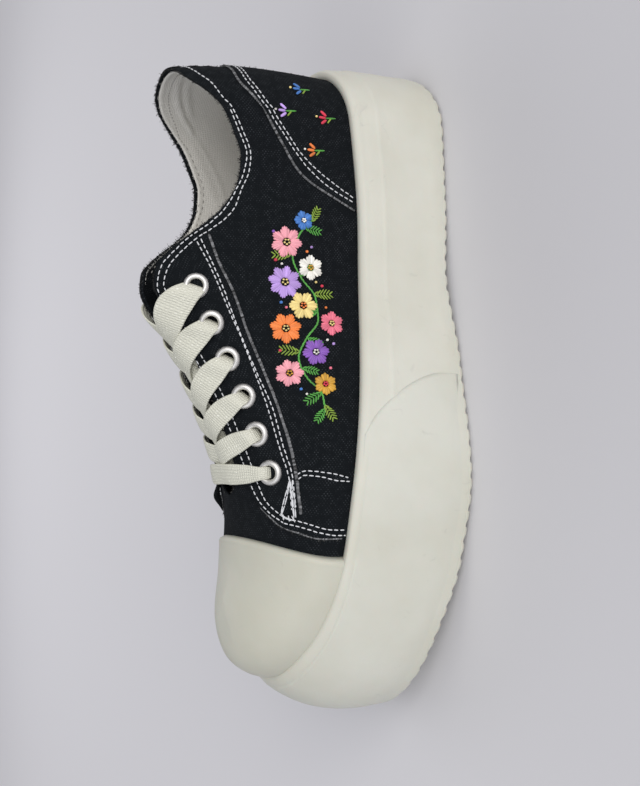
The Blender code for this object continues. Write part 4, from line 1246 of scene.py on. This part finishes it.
white_thread = thread_material("white_thread", (0.50, 0.51, 0.53), (0.84, 0.85, 0.87))
# The lining rows are coloured dark grey: painted shade, standing in for the shadow in the stitch holes of
# the pale lining.
lining_thread_painted_shade = thread_material("lining_thread_painted_shade", (0.20, 0.19, 0.18), (0.42, 0.40, 0.37))
for side, hand in ((1, "outer"), (-1, "inner")):
    for name, stops in SEAM_ROWS:
        starts, ends, normals = seam_line(stops, side)
        ends = ends + RANDOM.normal(0.0, 0.07, ends.shape)
        row = sew("%s_%s" % (name, hand), starts, ends, normals, *STITCH_SIZE)
        fit(row, [white_thread], "black_canvas")
    lap = np.full(400, -side * STRIP_SEAM)
    climb = np.linspace(0.03, 0.985, 400) * rim_climb(lap)
    points = cloth(lap, climb, strip_lift(lap, climb) + 0.1)
    run = run_length(points)
    places = np.arange(0.0, run[-1] - STITCH_PITCH, STITCH_PITCH)
    starts = spread(points, run, places)
    ends = spread(points, run, places + STITCH_SHARE * STITCH_PITCH)
    normals = np.broadcast_to(np.array((-1.0, 0.0, 0.0)), starts.shape)
    row = sew("strip_row_%s" % hand, starts, ends, normals, *STITCH_SIZE)
    fit(row, [white_thread], "black_canvas")
    # Lining rows: dark grey thread as painted shade of the stitch holes.
    for name, stops in (("lining_row_a", COLLAR_OUTER[:16]), ("lining_row_b", COLLAR_INNER[:10])):
        points, normals = on_side(*line_on(stops, SEAM_STEP), side, LINING_SEAM)
        starts = points[:-6:8]
        ends = points[4:-2:8][: len(starts)]
        row = sew("%s_%s" % (name, hand), starts, ends, -normals[:-6:8], *LINING_STITCH)
        fit(row, [lining_thread_painted_shade], "pale_lining")
    starts = []
    ends = []
    for (along_a, height_a), (along_b, height_b) in TACK_LINES:
        count = max(1, int(math.hypot(along_b - along_a, height_b - height_a) / TACK_STITCH))
        marks = np.linspace(0.0, 1.0, count + 1)
        along = along_a + (along_b - along_a) * marks + RANDOM.normal(0.0, 0.12, count + 1)
        height = height_a + (height_b - height_a) * marks + RANDOM.normal(0.0, 0.12, count + 1)
        lifts = 1.0 + RANDOM.uniform(0.0, 0.3, count + 1)
        points = on_side(along, height, side, lifts)[0]
        starts.append(points[:-1])
        ends.append(points[1:])
    starts = np.concatenate(starts)
    normals = np.broadcast_to(on_side(196.0, 72.0, side)[1], starts.shape)
    tack = sew("bar_tack_%s" % hand, starts, np.concatenate(ends), normals, *TACK_SIZE)
    fit(tack, [white_thread], "black_canvas")


# Flower stitching: a spray of satin-stitched daisies on a winding stem, with knots and leaves between them.
# It is sewn by hand in coloured floss through the outer quarter, with four small sprigs on the counter.
PINK = (0.80, 0.17, 0.25)
ROSE = (0.86, 0.36, 0.42)
LILAC = (0.47, 0.30, 0.70)
PURPLE = (0.24, 0.09, 0.46)
ORANGE = (0.86, 0.22, 0.04)
CREAM = (0.86, 0.68, 0.26)
WHITE = (0.82, 0.80, 0.74)
MUSTARD = (0.62, 0.33, 0.03)
RED = (0.66, 0.03, 0.07)
BLUE = (0.05, 0.19, 0.55)
LEAF = (0.07, 0.32, 0.04)
MOSS = (0.22, 0.34, 0.03)
STEM = (
    (81.0, 60.0), (88.0, 66.5), (97.0, 69.5), (106.0, 66.0), (114.0, 60.5), (123.0, 60.0),
    (131.0, 65.5), (139.0, 69.0), (147.0, 66.0), (153.5, 60.5), (160.0, 60.0),
)
DAISIES = (
    ((91.5, 72.0), 6.6, 7, ROSE, CREAM, 0.3), ((101.5, 62.0), 5.4, 6, WHITE, MUSTARD, 0.0),
    ((108.0, 73.0), 7.0, 8, LILAC, CREAM, 0.2), ((117.5, 66.0), 6.0, 6, CREAM, ORANGE, 0.5),
    ((124.5, 54.5), 5.2, 6, PINK, CREAM, 0.1), ((127.0, 73.5), 6.4, 7, ORANGE, CREAM, 0.0),
    ((136.5, 62.0), 5.6, 6, PURPLE, WHITE, 0.4), ((145.0, 72.5), 5.6, 7, ROSE, MUSTARD, 0.2),
    ((149.5, 59.0), 4.6, 6, MUSTARD, RED, 0.0), ((82.0, 64.5), 4.2, 5, BLUE, WHITE, 0.3),
)
LEAVES = (
    ((85.0, 64.0), -1.4, 7.0, LEAF), ((96.5, 70.0), 1.5, 7.5, MOSS), ((105.0, 66.0), -2.3, 6.0, LEAF),
    ((112.5, 61.0), -1.6, 7.5, MOSS), ((119.5, 60.0), 1.2, 5.0, LEAF), ((131.0, 65.0), -1.2, 6.0, LEAF),
    ((136.5, 68.5), 1.7, 7.5, MOSS), ((143.0, 67.5), -1.3, 6.0, LEAF), ((153.0, 61.0), 1.0, 7.0, LEAF),
    ((158.0, 60.0), -0.5, 6.5, MOSS), ((159.5, 60.2), 0.6, 6.0, LEAF), ((82.0, 60.5), -2.7, 6.5, MOSS),
)
KNOTS = (
    ((99.0, 76.5), RED, 1.7), ((100.5, 74.0), WHITE, 1.3), ((116.5, 75.0), BLUE, 1.6),
    ((118.5, 73.0), PINK, 1.4), ((95.0, 63.5), ORANGE, 1.5), ((93.0, 61.5), LILAC, 1.4),
    ((109.0, 57.5), RED, 1.6), ((107.5, 60.0), CREAM, 1.3), ((131.5, 57.0), WHITE, 1.4),
    ((133.0, 54.5), LILAC, 1.5), ((136.0, 76.0), RED, 1.5), ((151.5, 68.5), BLUE, 1.5),
    ((153.5, 66.5), WHITE, 1.2), ((143.0, 56.5), PINK, 1.5), ((118.0, 56.5), ORANGE, 1.3),
    ((87.5, 77.5), PURPLE, 1.5),
)
SPRIGS = (
    ((26.5, 63.0), BLUE, CREAM), ((37.5, 71.0), LILAC, WHITE), ((38.0, 53.0), RED, CREAM),
    ((52.5, 58.5), ORANGE, WHITE),
)
COUNTER_FLOSS_END = 70.0
COUNTER_FLOSS = 1.05
QUARTER_FLOSS = 0.20


def painted_thread(name, **values):
    made, tree, shader = new_material(name, **values)
    paint = add_node(tree, "ShaderNodeAttribute", attribute_name="thread")
    tree.links.new(paint.outputs["Color"], shader.inputs["Base Color"])
    return made, tree, shader


floss, tree, shader = painted_thread("coloured_floss", Roughness=0.5, Sheen_Weight=0.15)
tree.links.new(bumped(tree, object_noise(tree, 1900.0, 3.0), 0.4, 0.0002), shader.inputs["Normal"])
floss_rows = []
floss_colours = []


def floss_stroke(spot, start, end, width, colour, lift=0.0):
    shade = 1.0 + RANDOM.normal(0.0, 0.10)
    line = (spot[0] + start[0], spot[1] + start[1], spot[0] + end[0], spot[1] + end[1])
    floss_rows.append((*line, width, lift))
    floss_colours.append([min(1.0, max(0.0, c * shade)) for c in colour])


def heading(angle):
    out = np.array((math.cos(angle), math.sin(angle)))
    return out, np.array((-out[1], out[0]))


def daisy(spot, radius, petals, colour, heart, turn):
    strands = max(3, int(radius / 1.25))
    wide = radius * math.sin(math.pi / petals) * 0.92
    for petal in range(petals):
        out, side = heading(turn + 2.0 * math.pi * petal / petals)
        for strand in range(strands):
            share = (strand - 0.5 * (strands - 1)) / (0.5 * strands)
            start = out * radius * 0.24 + side * share * wide * 0.25
            end = out * radius * (1.0 - 0.30 * share * share) + side * share * wide * 0.80
            lift = 0.35 * (1.0 - share * share)
            floss_stroke(spot, start, end, 2.0 * wide / strands + 0.18, colour, lift)
    for bead in range(5):
        place = heading(2.0 * math.pi * bead / 5.0)[0] * radius * 0.15
        floss_stroke(spot, place - (0.35, 0.0), place + (0.35, 0.0), 0.95, heart, 0.75)


def leaf(spot, angle, length, colour):
    out, side = heading(angle)
    for share in np.linspace(0.0, 0.85, 6):
        reach = length * 0.30 * math.sin(math.pi * (0.18 + 0.72 * share))
        start = out * length * share
        for sign in (1.0, -1.0):
            end = start + out * length * 0.24 + side * sign * reach
            floss_stroke(spot, start, end, 0.62, colour, 0.12)


def knot(spot, colour, size):
    reach = 0.35 * size
    floss_stroke(spot, (-reach, 0.1), (reach, -0.1), size * 0.9, colour, 0.45)
    floss_stroke(spot, (-0.1, -reach), (0.1, reach), size * 0.8, colour, 0.55)


stem_knots = run_length(np.array(STEM))
stem_tables = [np.stack([stem_knots, column], axis=1) for column in np.array(STEM).T]
for place in np.arange(0.0, stem_knots[-1] - 2.0, 1.7):
    along, height = (curve(table, 1, np.array((place, place + 2.5))) for table in stem_tables)
    floss_stroke((0.0, 0.0), (along[0], height[0] - 0.2), (along[1], height[1] + 0.2), 0.8, LEAF)
for row in DAISIES:
    daisy(*row)
for row in LEAVES:
    leaf(*row)
for row in KNOTS:
    knot(*row)
for spot, colour, tip in SPRIGS:
    for angle in (0.9, 1.57, 2.24):
        out = heading(angle)[0]
        floss_stroke(spot, out * 1.2, out * 4.4, 1.25, colour, 0.2)
    floss_stroke(spot, (0.0, 1.4), (-0.6, -3.6), 0.75, LEAF)
    floss_stroke(spot, (-0.3, -1.4), (2.0, 0.4), 0.75, MOSS)
    knot((spot[0], spot[1] + 5.6), tip, 1.2)
start_along, start_height, end_along, end_height, widths, lifts = np.array(floss_rows).T
lifts = np.where(start_along < COUNTER_FLOSS_END, COUNTER_FLOSS, QUARTER_FLOSS) + lifts
starts = on_side(start_along, start_height, 1, lifts)[0]
ends, normals = on_side(end_along, end_height, 1, lifts)
flowers = sew("flower_stitching", starts, ends, normals, widths, widths * 0.8, np.array(floss_colours))
fit(flowers, [floss], "black_canvas")


# Raw edges: the grey cotton core of the canvas, showing as a fuzzy line where each panel was cut.
# It is laid as short overlapping threads along the cut, a little wider than the cloth is thick.
CORE_HEIGHT = 0.6
CORE_TINT = np.array([[1.0, 1.02, 1.06]])
core_thread = painted_thread("canvas_core", Roughness=0.9)[0]


def core(name, stops, side, lift, width, shift=0.0):
    along, height = line_on(stops, 0.55)
    drift = RANDOM.normal(0.0, 0.12, len(along))
    points, normals = on_side(along, height + shift + drift, side, lift)
    tone = np.clip(RANDOM.normal(0.13, 0.06, (len(along) - 2, 1)), 0.02, 0.35) * CORE_TINT
    piece = sew(name, points[:-2], points[2:], normals[1:-1], width, CORE_HEIGHT, tone)
    fit(piece, [core_thread], "black_canvas")


for side, hand in ((1, "outer"), (-1, "inner")):
    core("facing_core_" + hand, EYESTAY_FOOT, side, 0.45, 1.5, -0.4)
    core("counter_core_" + hand, HEEL_COUNTER, side, 0.45, 1.4, 0.35)
    core("fore_core_" + hand, FORE_CUT, side, 0.50, 1.0)


# Frayed edges: loose black fibres along the raw cuts of the collar, throat, facings, quarters and counter.
# They are the canvas's own threads, worked loose where no binding covers the edge.
FIBRE = thread_shape(5, 4)
FIBRE_WIDTH = 0.17
FIBRE_TINT = np.array([[1.0, 0.98, 0.93]])
BLACK_FIBRE = 0.012
PALE_FIBRE = 0.58
fray_thread = painted_thread("fray_fibre", Roughness=0.9)[0]


def fray(name, points, normals, outward, density, length, tone=BLACK_FIBRE):
    run = run_length(points)
    count = int(run[-1] * density)
    places = RANDOM.uniform(0.0, run[-1], count)
    root = spread(points, run, places)
    up = unit(spread(normals, run, places))
    out = unit(spread(outward, run, places))
    lean = RANDOM.normal(0.0, 1.3, (count, 1))
    rise = RANDOM.normal(0.15, 0.35, (count, 1))
    clump = 0.5 + 0.5 * np.sin(places * 1.9 + 2.0 * np.sin(places * 0.47))
    reach = np.abs(RANDOM.normal(length, 0.45 * length, (count, 1))) * (0.50 + 0.75 * clump**2)[:, None]
    tip = root + unit(out + np.cross(up, out) * lean + up * rise) * reach
    shades = np.where(RANDOM.uniform(size=(count, 1)) < 0.12, max(0.12, tone), tone) * FIBRE_TINT
    threads = sew(name, root - out * 0.3, tip, up, FIBRE_WIDTH, FIBRE_WIDTH, shades, FIBRE)
    fit(threads, [fray_thread], "black_canvas")


def rim_line(lap_a, lap_b, count, proud, below=0.0):
    lap = np.linspace(lap_a, lap_b, count)
    climb = rim_climb(lap) - below
    points = cloth(lap, climb, proud)
    return points, upper_normal(lap, climb), points - cloth(lap, climb - 0.03, proud)


def cut_line(stops, side, proud, tilt):
    points, normals = on_side(*line_on(stops, 0.8), side, proud)
    return points, normals, np.cross(normals, np.gradient(points, axis=0)) * tilt * side


collar_end = turn_of(106.0)
throat_end = turn_of(192.0)
fray("collar_fray", *rim_line(-collar_end, collar_end, 400, -0.4), 9.0, 0.9)
fray("throat_fray_inner", *rim_line(collar_end, throat_end, 200, 0.3), 7.0, 1.1)
fray("throat_fray_outer", *rim_line(2.0 - throat_end, 2.0 - collar_end, 200, 0.3), 7.0, 1.1)
points, normals, outward = rim_line(-collar_end, collar_end, 400, -1.55, LINING_BELOW)
fray("lining_fray", points, -normals, outward, 3.0, 0.7, PALE_FIBRE)
for hand, edge in (("inner", STRIP_LAP), ("outer", -STRIP_LAP)):
    lap = np.full(160, edge)
    climb = np.linspace(0.03, 1.0, 160) * (rim_climb(lap) - STRIP_BELOW)
    lift = strip_lift(lap, climb) - 0.2
    points = cloth(lap, climb, lift)
    outward = points - cloth(lap * 0.9, climb, lift)
    fray("strip_fray_" + hand, points, upper_normal(lap, climb), outward, 9.0, 0.8)
for side, hand in ((1, "outer"), (-1, "inner")):
    fray("facing_fray_" + hand, *cut_line(EYESTAY_FOOT, side, 0.45, 1.0), 3.5, 0.8)
    fray("fore_fray_" + hand, *cut_line(FORE_CUT, side, 0.40, 1.0), 5.0, 1.0)
    fray("counter_fray_" + hand, *cut_line(HEEL_COUNTER, side, 0.50, -1.0), 3.5, 0.8)
